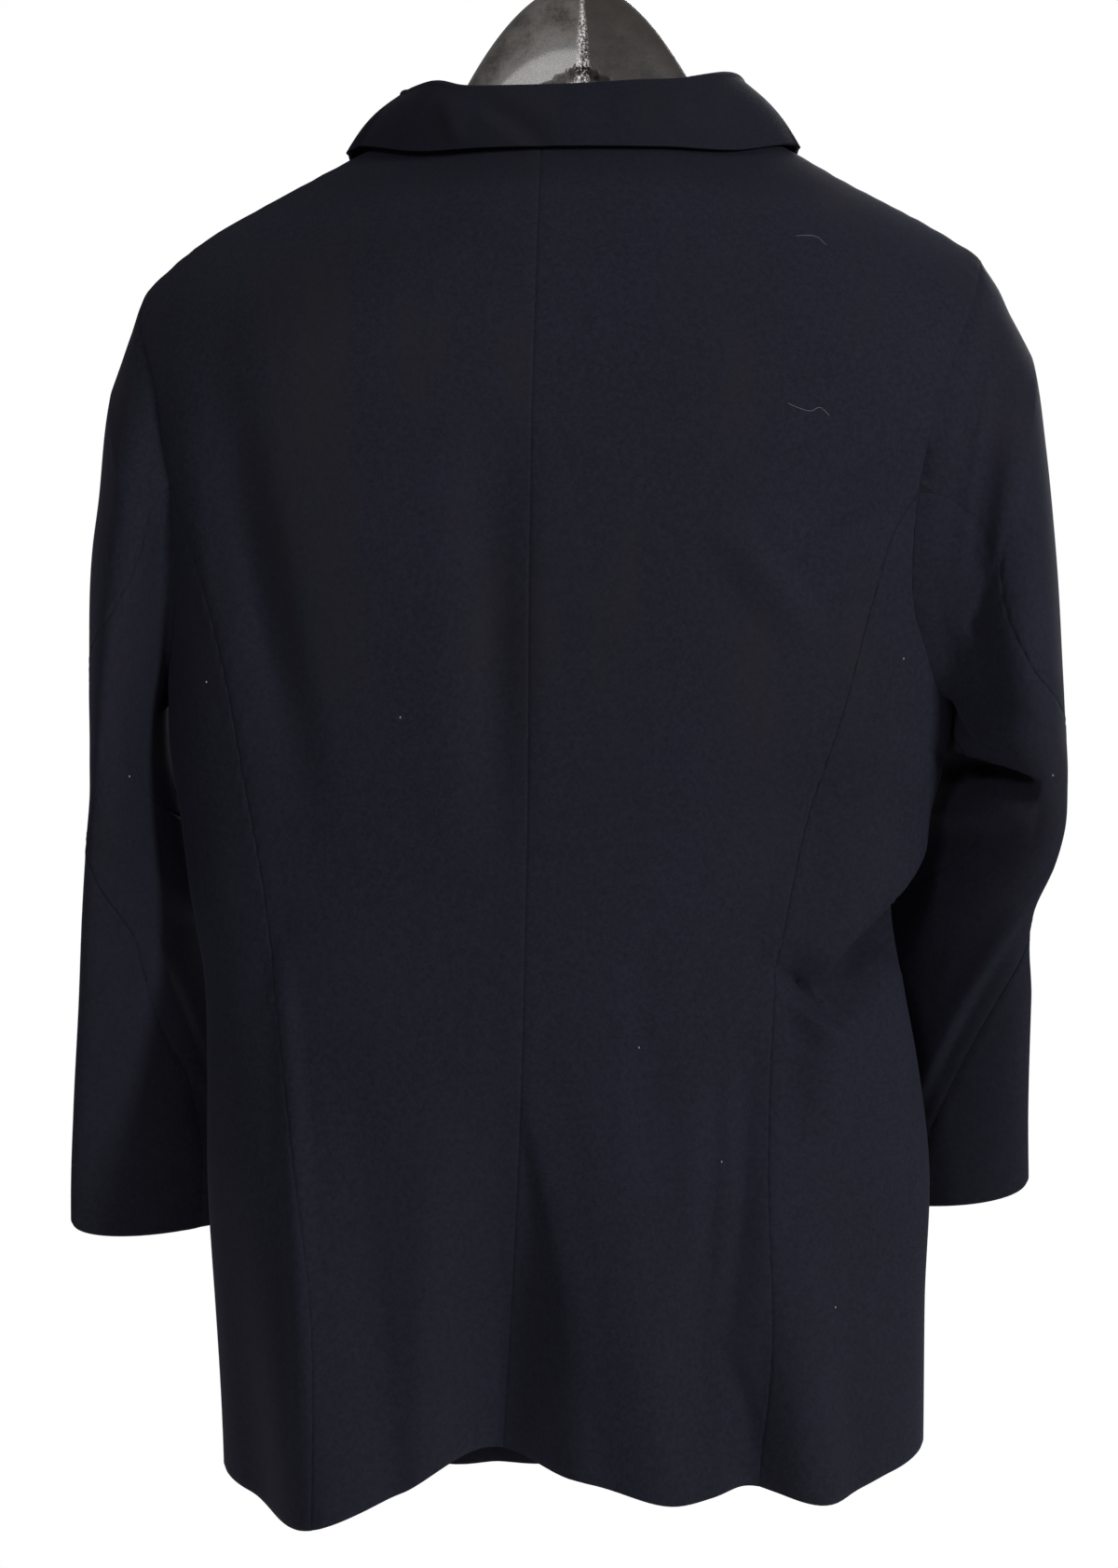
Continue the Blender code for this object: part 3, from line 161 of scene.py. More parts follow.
floor_paint = Finish("pale_floor", Roughness=0.9)
floor_place = floor_paint.place()
floor_mottle = floor_paint.noise(floor_place, 6.0)
floor_paint.feed(Base_Color=floor_paint.blend(floor_mottle, (0.84, 0.84, 0.83, 1), (0.90, 0.90, 0.89, 1)))
disc = bmesh.new()
bmesh.ops.create_circle(disc, cap_ends=True, segments=96, radius=FLOOR_RADIUS)
floor_mesh = bpy.data.meshes.new("floor")
disc.to_mesh(floor_mesh)
disc.free()
floor = bpy.data.objects.new("floor", floor_mesh)
floor.location.z = FLOOR_Z
floor_mesh.materials.append(floor_paint.data)
bpy.context.scene.collection.objects.link(floor)

# Back panels
# Fine navy wool, cut in two and joined by the centre back seam. Each panel runs from the neck
# and the shoulder seam to the hem, and out to the armhole and the curved seam below it.
# The cloth is made from one body surface: a drop is a distance straight down from the hook.
CLOTH = 0.0022
ARMHOLE_GAP = -0.0008
LEFT, RIGHT = -1, 1
BODY_COLUMNS = ("drop", "left", "right", "back", "front", "square")
BODY_ROWS = (
    (0.100, -0.262, 0.2430, 0.060, 0.052, 3.00),
    (0.160, -0.262, 0.2430, 0.072, 0.064, 3.00),
    (0.220, -0.255, 0.2370, 0.084, 0.079, 2.80),
    (0.280, -0.240, 0.2220, 0.092, 0.092, 2.60),
    (0.340, -0.229, 0.2060, 0.094, 0.099, 2.50),
    (0.400, -0.2215, 0.1990, 0.088, 0.099, 2.40),
    (0.430, -0.2205, 0.1985, 0.083, 0.096, 2.40),
    (0.4675, -0.2200, 0.1945, 0.077, 0.092, 2.35),
    (0.500, -0.2145, 0.1760, 0.070, 0.087, 2.30),
    (0.5395, -0.2090, 0.1665, 0.066, 0.083, 2.30),
    (0.5875, -0.2010, 0.1725, 0.068, 0.080, 2.30),
    (0.634, -0.1995, 0.1805, 0.073, 0.080, 2.30),
    (0.690, -0.1990, 0.1870, 0.080, 0.082, 2.35),
    (0.760, -0.1955, 0.1845, 0.085, 0.084, 2.40),
    (0.880, -0.1900, 0.1815, 0.087, 0.087, 2.40),
)
SHOULDER_COLUMNS = ("across", "drop")
SHOULDER_ROWS = (
    (-0.262, 0.2550), (-0.2335, 0.2215), (-0.2175, 0.2055), (-0.1995, 0.1915), (-0.1715, 0.1755),
    (-0.1425, 0.1605), (-0.0850, 0.1310), (-0.0400, 0.1060), (0.0000, 0.0990), (0.0400, 0.1060),
    (0.0850, 0.1315), (0.1185, 0.1495), (0.1385, 0.1605), (0.1645, 0.1735), (0.1885, 0.1865),
    (0.2142, 0.2035), (0.2430, 0.2300),
)
SHOULDER_ROLL = 0.110
SHOULDER_FULLNESS = 0.75
NECK_HALF, NECK_ROUNDNESS = 0.085, 0.75
NECK_DIP, NECK_COLUMNS_SHARE = 0.0167, 0.36
HEM_COLUMNS = ("turn", "drop")
HEM_ROWS = (
    (-200, 0.868), (-165, 0.868), (-125, 0.860), (-90, 0.848), (-62, 0.853), (-38, 0.861), (-24, 0.846),
    (-10, 0.827), (0, 0.838), (11, 0.849), (25, 0.844), (37, 0.851), (60, 0.842), (90, 0.836),
    (125, 0.856), (165, 0.868), (200, 0.868),
)
HEM_GUESS, HEM_ROUNDS = -0.85, 8
CENTRE_BACK_COLUMNS = ("drop", "across")
CENTRE_BACK_ROWS = (
    (0.140, -0.0203), (0.220, -0.0228), (0.320, -0.0257), (0.460, -0.0270), (0.565, -0.0290),
    (0.6435, -0.0310), (0.740, -0.0360), (0.840, -0.0425),
)
BACK_SEAM_COLUMNS = ("drop", "across")
BACK_SEAM_ROWS = {
    LEFT: (
        (0.332, -0.2125), (0.380, -0.1968), (0.4315, -0.1843), (0.4852, -0.1747), (0.5352, -0.1661),
        (0.585, -0.1600), (0.670, -0.1450), (0.7616, -0.1310), (0.870, -0.1285),
    ),
    RIGHT: (
        (0.335, 0.1742), (0.350, 0.1640), (0.387, 0.1514), (0.4467, 0.1350), (0.5007, 0.1177),
        (0.5527, 0.1051), (0.6254, 0.0979), (0.6822, 0.0957), (0.780, 0.0966), (0.860, 0.0918),
    ),
}
FRONT_SEAM_COLUMNS = ("drop", "turn")
FRONT_SEAM_ROWS = (
    (0.370, 118.0), (0.450, 115.0), (0.550, 118.0), (0.700, 122.0), (0.870, 126.0),
)
ARMHOLE_COLUMNS = ("drop", "across")
BACK_ARMHOLE_ROWS = {
    LEFT: (
        (0.2215, -0.2335), (0.2435, -0.2335), (0.2628, -0.2275), (0.2810, -0.2222), (0.2987, -0.2190),
        (0.3320, -0.2125),
    ),
    RIGHT: (
        (0.2035, 0.2142), (0.2240, 0.2094), (0.2471, 0.2002), (0.2676, 0.1915), (0.2879, 0.1848),
        (0.3178, 0.1773), (0.3350, 0.1742),
    ),
}
FRONT_ARMHOLE_ROWS = {
    LEFT: (
        (0.2215, -0.2335), (0.2600, -0.2240), (0.3000, -0.2110), (0.3400, -0.2055), (0.3700, -0.2024),
    ),
    RIGHT: (
        (0.2035, 0.2142), (0.2500, 0.2000), (0.3000, 0.1855), (0.3400, 0.1815), (0.3700, 0.1824),
    ),
}
FRONT_TUCK = 0.0062
FRONT_TUCK_FROM, FRONT_TUCK_TO = -0.050, -0.024
TUCK_DROP_FROM, TUCK_DROP_TO = 0.19, 0.36
FOLDS_CALM_BELOW_SHOULDER, FOLDS_CALM_AT_SIDES = 0.06, 0.6

# The main folds, then the smaller ones. Each lies along a line that bows sideways, and falls
# away over one width on its left and another on its right. A narrow width is a crisp edge.
# Columns: side, x and drop of its start, x and drop of its end, bow, width on the left, width on
# the right, height, and how it ends.
FOLD_ROWS = (
    ("back", -0.165, 0.570, -0.128, 0.870, 0.000, 0.044, 0.044, 0.0260, "grows"),
    ("back", -0.034, 0.600, -0.043, 0.860, 0.000, 0.046, 0.046, -0.0300, "grows"),
    ("back", 0.004, 0.620, 0.042, 0.860, 0.000, 0.034, 0.034, 0.0080, "grows"),
    ("back", 0.086, 0.610, 0.060, 0.830, 0.000, 0.024, 0.024, -0.0080, "fades"),
    ("back", 0.084, 0.740, 0.090, 0.870, 0.000, 0.022, 0.022, -0.0120, "grows"),
    ("back", 0.106, 0.680, 0.121, 0.870, 0.000, 0.026, 0.026, 0.0130, "grows"),
    ("back", -0.196, 0.235, -0.140, 0.520, 0.000, 0.026, 0.026, -0.0070, "fades"),
    ("back", -0.045, 0.300, -0.044, 0.530, 0.000, 0.030, 0.030, -0.0060, "fades"),
    ("back", 0.104, 0.356, 0.172, 0.320, 0.000, 0.018, 0.018, -0.0050, "fades"),
    ("back", 0.066, 0.350, 0.120, 0.415, 0.000, 0.018, 0.018, 0.0040, "fades"),
    ("back", 0.100, 0.572, 0.140, 0.606, 0.000, 0.016, 0.016, -0.0070, "fades"),
    ("back", 0.128, 0.590, 0.128, 0.670, 0.000, 0.022, 0.022, 0.0070, "fades"),
    ("front", -0.104, 0.420, -0.118, 0.880, 0.000, 0.040, 0.040, 0.0120, "grows"),
    ("front", -0.062, 0.520, -0.070, 0.880, 0.000, 0.026, 0.026, -0.0080, "grows"),
    ("front", 0.098, 0.430, 0.112, 0.880, 0.000, 0.038, 0.038, 0.0110, "grows"),
    ("front", 0.060, 0.560, 0.064, 0.880, 0.000, 0.026, 0.026, -0.0070, "grows"),
    ("back", -0.158, 0.560, -0.129, 0.830, 0.002, 0.011, 0.009, 0.0046, "fades"),
    ("back", -0.184, 0.300, -0.146, 0.480, -0.004, 0.012, 0.022, -0.0024, "fades"),
    ("back", -0.190, 0.320, -0.186, 0.400, 0.000, 0.008, 0.012, -0.0012, "fades"),
    ("back", -0.052, 0.330, -0.046, 0.515, 0.003, 0.012, 0.020, -0.0016, "fades"),
    ("back", -0.028, 0.640, -0.005, 0.790, 0.002, 0.009, 0.020, 0.0042, "fades"),
    ("back", 0.030, 0.560, 0.046, 0.720, -0.003, 0.018, 0.020, -0.0018, "fades"),
    ("back", 0.077, 0.620, 0.066, 0.775, 0.003, 0.009, 0.010, 0.0036, "fades"),
    ("back", 0.072, 0.770, 0.090, 0.830, 0.002, 0.008, 0.010, -0.0030, "fades"),
    ("back", 0.110, 0.352, 0.166, 0.330, -0.003, 0.010, 0.007, -0.0022, "fades"),
    ("back", 0.116, 0.402, 0.152, 0.389, 0.002, 0.008, 0.007, -0.0018, "fades"),
    ("back", 0.150, 0.277, 0.184, 0.286, 0.000, 0.008, 0.008, -0.0014, "fades"),
    ("back", 0.076, 0.360, 0.116, 0.406, 0.002, 0.008, 0.010, 0.0014, "fades"),
    ("back", 0.107, 0.579, 0.138, 0.606, -0.005, 0.009, 0.006, -0.0056, "fades"),
    ("back", 0.108, 0.592, 0.150, 0.622, -0.006, 0.012, 0.009, 0.0050, "fades"),
    ("back", -0.150, 0.545, -0.176, 0.610, 0.000, 0.012, 0.012, -0.0016, "fades"),
    ("back", -0.104, 0.800, -0.092, 0.870, 0.000, 0.012, 0.010, -0.0022, "grows"),
    ("front", -0.090, 0.260, -0.150, 0.400, 0.004, 0.012, 0.016, -0.0020, "fades"),
    ("front", 0.080, 0.300, 0.150, 0.385, -0.004, 0.010, 0.014, -0.0022, "fades"),
    ("front", -0.030, 0.470, -0.110, 0.500, 0.003, 0.010, 0.014, -0.0026, "fades"),
    ("front", 0.020, 0.455, 0.110, 0.490, -0.003, 0.012, 0.010, -0.0026, "fades"),
    ("front", 0.085, 0.600, 0.090, 0.800, 0.003, 0.012, 0.016, 0.0020, "fades"),
)

# The fold over the right hip, from its top at the side seam down to its foot on the back. The
# cloth above it bulges out, laps a little over its lip, and falls in below it.
OVERHANG_TOP = (0.1950, 0.476)
OVERHANG_FOOT = (0.1180, 0.590)
OVERHANG_RISE, OVERHANG_DROP, OVERHANG_LAP = 0.0100, 0.0215, 0.0080
OVERHANG_ABOVE, OVERHANG_LIP, OVERHANG_BELOW = 0.052, 0.0140, 0.044
OVERHANG_ENDS, OVERHANG_LAP_ENDS = 0.5, 4
FOLD_GROWN, FOLD_ENDS = 0.9, 0.8

# How the cloth is at its seams and edges, and its small unevenness.
SEAM_DIP, SEAM_DIP_WIDE = 0.0004, 0.0009
SEAM_BAND, SEAM_BAND_AT, SEAM_BAND_WIDE = 0.00016, 0.0060, 0.0045
PUCKER, PUCKER_REACH, PUCKER_LENGTH = 0.00018, 0.009, 0.013
EDGE_ROUND = 0.36
# Each wave: its rate across, its rate down, its phase and its depth.
UNEVEN_WAVES = (
    (31.0, 12.0, 0.4, 0.00035), (-22.0, 41.0, 1.9, 0.00030),
    (58.0, -37.0, 3.1, 0.00016), (9.0, 26.0, 4.4, 0.00050),
)
UNEVEN_DOWN = 0.8
PUCKER_VARIES, PUCKER_VARIES_AT = 1.7, 61.0
AWAY_FROM_SEAMS, SHARP_EDGE = 0.05, math.radians(62)
ARMHOLE_STEPS, ARMHOLE_BUNCH, SEAM_STEPS = 36, 1.5, 170
BACK_COLUMNS_COUNT, FRONT_COLUMNS_COUNT, SIDE_COLUMNS_COUNT = 64, 56, 72


def column(columns, rows, name, at):
    """Read one column of a table along its first column, as a smooth curve."""
    stations = np.array([row[0] for row in rows], dtype=float)
    values = np.array([row[columns.index(name)] for row in rows], dtype=float)
    slopes = np.gradient(values, stations)
    at = np.clip(np.asarray(at, dtype=float), stations[0], stations[-1])
    left = np.clip(np.searchsorted(stations, at) - 1, 0, len(stations) - 2)
    span = stations[left + 1] - stations[left]
    part = (at - stations[left]) / span
    start = (2 * part**3 - 3 * part**2 + 1) * values[left]
    start = start + (part**3 - 2 * part**2 + part) * span * slopes[left]
    end = (3 * part**2 - 2 * part**3) * values[left + 1]
    return start + end + (part**3 - part**2) * span * slopes[left + 1]


def smooth_step(low, high, value):
    part = np.clip((value - low) / (high - low), 0.0, 1.0)
    return part * part * (3 - 2 * part)


def unit(vectors):
    return vectors / np.maximum(np.linalg.norm(vectors, axis=-1, keepdims=True), 1e-12)


def shoulder_z(x):
    return -column(SHOULDER_COLUMNS, SHOULDER_ROWS, "drop", x)


def shoulder_fullness(x, z):
    """0 on the shoulder line, 1 where the cloth has rolled over to its full depth."""
    below = np.clip((shoulder_z(x) - z) / SHOULDER_ROLL, 0.0, 1.0)
    return np.sin(0.5 * math.pi * below) ** SHOULDER_FULLNESS


def body_ring(z):
    return [column(BODY_COLUMNS, BODY_ROWS, name, -z) for name in BODY_COLUMNS[1:]]


def plain_body(turn, z):
    """The body without its folds. turn is in degrees, 0 at centre back, +90 on the right."""
    left, right, back, front, square = body_ring(z)
    middle, half = (left + right) / 2, (right - left) / 2
    sine, cosine = np.sin(np.radians(turn)), np.cos(np.radians(turn))
    x = middle + half * np.sign(sine) * np.abs(sine) ** (2 / square)
    depth = np.where(cosine >= 0, back, front) * np.abs(cosine) ** (2 / square) * shoulder_fullness(x, z)
    return np.stack([x, -np.sign(cosine) * depth, z], axis=-1)


def turn_at(x, z, facing):
    """The turn round the body of the point at x. facing is -1 on the back, 1 on the front."""
    left, right, _, _, square = body_ring(z)
    middle, half = (left + right) / 2, (right - left) / 2
    share = np.clip((x - middle) / half, -1.0, 1.0)
    turn = np.degrees(np.arcsin(np.sign(share) * np.abs(share) ** (square / 2)))
    if facing < 0:
        return turn
    return np.where(np.asarray(x) < 0, -180.0, 180.0) - turn


def outward(surface, turn, z):
    """The outward direction of a surface, from small steps along it."""
    step_turn, step_z = 0.25, 0.0010
    along = surface(turn + step_turn, z) - surface(turn - step_turn, z)
    down = surface(turn, z - 2 * step_z) - surface(turn, z)
    return unit(np.cross(down, along))


def fold_shape(x, z, x0, drop0, x1, drop1, bow, left, right, ends):
    """1 on a fold's crest, 0 away from it."""
    run = np.array([x1 - x0, drop0 - drop1])
    length = np.linalg.norm(run)
    offset_x, offset_z = x - x0, z + drop0
    part = (offset_x * run[0] + offset_z * run[1]) / length**2
    along = np.clip(part, 0, 1)
    across = (offset_z * run[0] - offset_x * run[1]) / length - bow * np.sin(math.pi * along)
    width = np.where(across < 0, left, right)
    crest = np.cos(0.5 * math.pi * np.clip(np.abs(across) / width, 0, 1)) ** 2
    if ends == "grows":
        return crest * smooth_step(0.0, FOLD_GROWN, part)
    return crest * np.sin(math.pi * along) ** FOLD_ENDS


def fold_height(x, z, facing):
    """How far the folds push the cloth out, on its back where facing is -1."""
    height = np.zeros_like(x)
    for side, *line, rise, ends in FOLD_ROWS:
        here = facing == (-1 if side == "back" else 1)
        height = height + np.where(here, rise * fold_shape(x, z, *line, ends), 0)
    return height


def overhang(x, z):
    """The big fold over the right hip: how far it pushes out, and how far its lip laps over."""
    top, foot = np.array(OVERHANG_TOP), np.array(OVERHANG_FOOT)
    run = np.array([foot[0] - top[0], top[1] - foot[1]])
    length = np.linalg.norm(run)
    offset = np.stack([x - top[0], z + top[1]], axis=-1)
    part = (offset @ run) / length**2
    above = (offset[..., 0] * run[1] - offset[..., 1] * run[0]) / length
    rise = OVERHANG_RISE * (1 - smooth_step(0, OVERHANG_ABOVE, above))
    fall = -OVERHANG_DROP * (1 - smooth_step(OVERHANG_LIP, OVERHANG_BELOW, -above))
    lip = smooth_step(-OVERHANG_LIP, 0, above)
    grows = np.sin(math.pi * np.clip(part, 0, 1)) ** OVERHANG_ENDS
    lap = OVERHANG_LAP * lip * (1 - smooth_step(0, OVERHANG_ABOVE, above)) * grows**OVERHANG_LAP_ENDS
    lapped = np.stack([-run[1] * lap, np.zeros_like(lap), run[0] * lap], axis=-1) / length
    return (rise * lip + fall * (1 - lip)) * grows, lapped


def body(turn, z):
    """The outer face of the body's cloth, with its folds."""
    turn, z = np.broadcast_arrays(np.asarray(turn, dtype=float), np.asarray(z, dtype=float))
    base = plain_body(turn, z)
    cosine = np.cos(np.radians(turn))
    facing = np.where(cosine >= 0, -1, 1)
    flat = np.abs(cosine) ** FOLDS_CALM_AT_SIDES
    below = smooth_step(0.0, FOLDS_CALM_BELOW_SHOULDER, shoulder_z(base[..., 0]) - z)
    push = fold_height(base[..., 0], z, facing) * flat * below
    height, lapped = overhang(base[..., 0], z)
    push = push + np.where(facing < 0, height, 0)
    tuck = smooth_step(FRONT_TUCK_FROM, FRONT_TUCK_TO, base[..., 0])
    tuck = np.where((facing > 0) & (turn < 0), tuck, 0) * smooth_step(TUCK_DROP_FROM, TUCK_DROP_TO, -z)
    lapped = np.where((facing < 0)[..., None], lapped, 0)
    return base + outward(plain_body, turn, z) * (push - FRONT_TUCK * tuck)[..., None] + lapped


def body_outward(turn, z):
    return outward(body, np.asarray(turn, dtype=float), np.asarray(z, dtype=float))


def shoulder_outward(x):
    step = 0.002
    rise = (shoulder_z(x + step) - shoulder_z(x - step)) / (2 * step)
    return unit(np.stack([-rise, np.zeros_like(rise), np.ones_like(rise)], axis=-1))


def hem_z(turn):
    return -column(HEM_COLUMNS, HEM_ROWS, "drop", turn)


def patch(top, bottom, start, end, across, down):
    """Fill four flat edges with a grid: rows go down, columns go from start to end."""
    u, v = np.asarray(across)[None, :, None], np.asarray(down)[:, None, None]
    sides = (1 - u) * start[:, None] + u * end[:, None] + (1 - v) * top[None] + v * bottom[None]
    corners = (1 - u) * (1 - v) * top[0] + u * (1 - v) * top[-1]
    corners = corners + (1 - u) * v * bottom[0] + u * v * bottom[-1]
    return sides - corners


def edge_rows(z_top, z_junction, z_bottom):
    """Heights down a panel's outer edge: closer near the shoulder, even below the junction."""
    shares = [(i / ARMHOLE_STEPS) ** ARMHOLE_BUNCH for i in range(ARMHOLE_STEPS)]
    upper = [z_top + (z_junction - z_top) * share for share in shares]
    lower = np.linspace(z_junction, z_bottom, SEAM_STEPS + 1)
    return np.array(upper + list(lower))


def row_shares(junction_share):
    return edge_rows(0.0, junction_share, 1.0)


def along_edge(columns, rows, name, z):
    return column(columns, rows, name, -z)


def seam_foot(columns, rows, facing):
    """Where a seam meets the hem."""
    z = HEM_GUESS
    for _ in range(HEM_ROUNDS):
        x = along_edge(columns, rows, "across", np.array(z))
        z = float(hem_z(turn_at(x, np.array(z), facing)))
    return z


def front_seam_foot(side):
    z = HEM_GUESS
    for _ in range(HEM_ROUNDS):
        z = float(hem_z(side * along_edge(FRONT_SEAM_COLUMNS, FRONT_SEAM_ROWS, "turn", np.array(z))))
    return z


def front_seam_x(side, z):
    turn = side * along_edge(FRONT_SEAM_COLUMNS, FRONT_SEAM_ROWS, "turn", z)
    return plain_body(turn, z)[..., 0]


def spread(count, tight=0.86):
    """Places from 0 to 1 that lie closer together towards both ends, where the seams are."""
    even = np.linspace(0, 1, count)
    return even - tight * np.sin(2 * math.pi * even) / (2 * math.pi)


def length_along(points, axis):
    steps = np.linalg.norm(np.diff(points, axis=axis), axis=-1)
    start = np.zeros_like(np.take(steps, [0], axis=axis))
    return np.concatenate([start, np.cumsum(steps, axis=axis)], axis=axis)


def cloth_wall(name, outer, outs, thickness, finish, seams=("start", "end", "top"), smooth=0.0):
    """A piece of cloth with rounded edges. Its seams are turned in, with a pressed band beside."""
    rows, columns = outer.shape[:2]
    across, down = length_along(outer, 1), length_along(outer, 0)
    edges = {
        "start": (across, down), "end": (across[:, -1:] - across, down),
        "top": (down, across), "bottom": (down[-1:] - down, across),
    }
    x, z = outer[..., 0], outer[..., 2]
    push = sum(deep * np.sin(a * x + b * z * UNEVEN_DOWN + phase) for a, b, phase, deep in UNEVEN_WAVES)
    push = push * (1 - smooth)
    nearest = np.full((rows, columns), AWAY_FROM_SEAMS)
    for seam in seams:
        away, beside = edges[seam]
        varies = PUCKER_VARIES * np.sin(beside * PUCKER_VARIES_AT)
        wave = np.sin(2 * math.pi * beside / PUCKER_LENGTH + varies)
        push = push + PUCKER * wave * np.exp(-(away / PUCKER_REACH) ** 2)
        push = push - SEAM_DIP * np.exp(-(away / SEAM_DIP_WIDE) ** 2)
        push = push + SEAM_BAND * np.exp(-((away - SEAM_BAND_AT) / SEAM_BAND_WIDE) ** 2)
        nearest = np.minimum(nearest, away)
    outer = outer + outs * push[..., None]
    inner = outer - outs * thickness
    rim = np.zeros((rows, columns, 1))
    rims = {"top": np.s_[0], "bottom": np.s_[-1], "start": np.s_[:, 0], "end": np.s_[:, -1]}
    for edge, where in rims.items():
        if edge not in seams:
            rim[where] = 1
    outer, inner = outer - outs * rim * EDGE_ROUND * thickness, inner + outs * rim * EDGE_ROUND * thickness
    points = np.concatenate([outer.reshape(-1, 3), inner.reshape(-1, 3)])

    grid = np.arange(rows * columns).reshape(rows, columns)
    cells = np.stack([grid[:-1, :-1], grid[:-1, 1:], grid[1:, 1:], grid[1:, :-1]], -1).reshape(-1, 4)
    border = np.concatenate([grid[0, :], grid[1:, -1], grid[-1, -2::-1], grid[-2:0:-1, 0]])
    following = np.roll(border, -1)
    count = rows * columns
    rim_faces = np.stack([following, border, border + count, following + count], -1)
    middle = cells[len(cells) // 2 + columns // 2]
    facing = np.cross(points[middle[1]] - points[middle[0]], points[middle[3]] - points[middle[0]])
    faces = np.concatenate([cells, cells[:, ::-1] + count, rim_faces])
    if np.dot(facing, outs.reshape(-1, 3)[middle[0]]) < 0:
        faces = faces[:, ::-1]
    mesh = bpy.data.meshes.new(name)
    mesh.from_pydata(points.tolist(), [], faces.tolist())
    thread = mesh.attributes.new("thread", "FLOAT_VECTOR", "POINT")
    flat = np.stack([across, down, np.zeros_like(across)], -1).reshape(-1, 3)
    thread.data.foreach_set("vector", np.concatenate([flat, flat]).astype(np.float32).ravel())
    seam_away = mesh.attributes.new("seam", "FLOAT", "POINT")
    seam_away.data.foreach_set("value", np.concatenate([nearest.ravel()] * 2).astype(np.float32))
    mesh.shade_smooth()
    mesh.set_sharp_from_angle(angle=SHARP_EDGE)
    mesh.materials.append(finish.data)
    piece = bpy.data.objects.new(name, mesh)
    bpy.context.scene.collection.objects.link(piece)
    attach(piece, "root")
    return piece


# The wool: near-black navy worsted, a little lighter where fibres stand up, with faint bands of warm dust
# on the upper back. Its colour also carries painted shade: darker along the seams, and over the collar and
# shoulder tops.
wool = Finish(
    "navy_wool_cloth", Roughness=0.82, Specular_IOR_Level=0.10,
    Sheen_Weight=0.03, Sheen_Roughness=0.5, Sheen_Tint=(0.5, 0.52, 0.85, 1),
)
wool_thread = wool.node("ShaderNodeAttribute", {"attribute_name": "thread"}, {}, "Vector")
wool_seam = wool.node("ShaderNodeAttribute", {"attribute_name": "seam"}, {}, "Fac")
wool_place = wool.place()
wool_warp = wool.noise(wool.stretch(wool_thread, (2600.0, 420.0, 1.0)), 1.0, 2.0)
wool_weft = wool.noise(wool.stretch(wool_thread, (420.0, 2600.0, 1.0)), 1.0, 2.0)
wool_weave = wool_warp * 0.5 + wool_weft * 0.5
wool_cloud = wool.noise(wool_place, 9.0, 4.0, 0.6)
wool_fibre = wool.noise(wool_place, 1100.0, 2.0, 0.7)
wool_fleck = wool.noise(wool_place, 380.0, 3.0, 0.75)
wool_mixed = wool_weave * 0.30 + wool_fleck * 0.35 + wool_fibre * 0.15 + wool_cloud * 0.20
wool_tone = wool.steps(wool_mixed, 0.38, 0.62)
wool_dark, wool_light = (0.0058, 0.0058, 0.0108, 1), (0.0122, 0.0122, 0.0210, 1)
wool_colour = wool.blend(wool_tone, wool_dark, wool_light)
wool_height = wool.axis(wool_place, "Z")
wool_band = wool.noise(wool.stretch(wool_place, (15.0, 6.0, 4.0)), 1.0, 4.0, 0.6)
wool_dust = wool.steps(wool_band, 0.44, 0.66) * wool.steps(wool_height, -0.62, -0.30, 0.12, 0.62)
wool_colour = wool.blend(wool_dust, wool_colour, (0.0128, 0.0112, 0.0140, 1))
# Painted shade: wool above the collar's lower edge is darkened, over the collar and the tops of the
# shoulders.
wool_collar_shade = wool.steps(wool_height, -0.185, -0.165, 0.0, 0.5)
wool_colour = wool.blend(wool_collar_shade, wool_colour, (0.0052, 0.0052, 0.0096, 1))
# Painted shade: the wool is darkened within a fraction of a millimetre of each seam, where the seam's groove
# is shaded.
wool_seam_shade = wool.steps(wool_seam, -0.0004, 0.0007)
wool_colour = wool.blend(wool_seam_shade, (0.0048, 0.0048, 0.0082, 1), wool_colour)
wool_rough = wool.steps(wool_cloud + wool_fibre * 0.3, 0.35, 0.85, 0.76, 0.90)
wool_relief = wool.bump(wool_weave, 0.00022, wool.bump(wool_cloud, 0.0006))
wool.feed(Base_Color=wool_colour, Roughness=wool_rough, Normal=wool_relief)


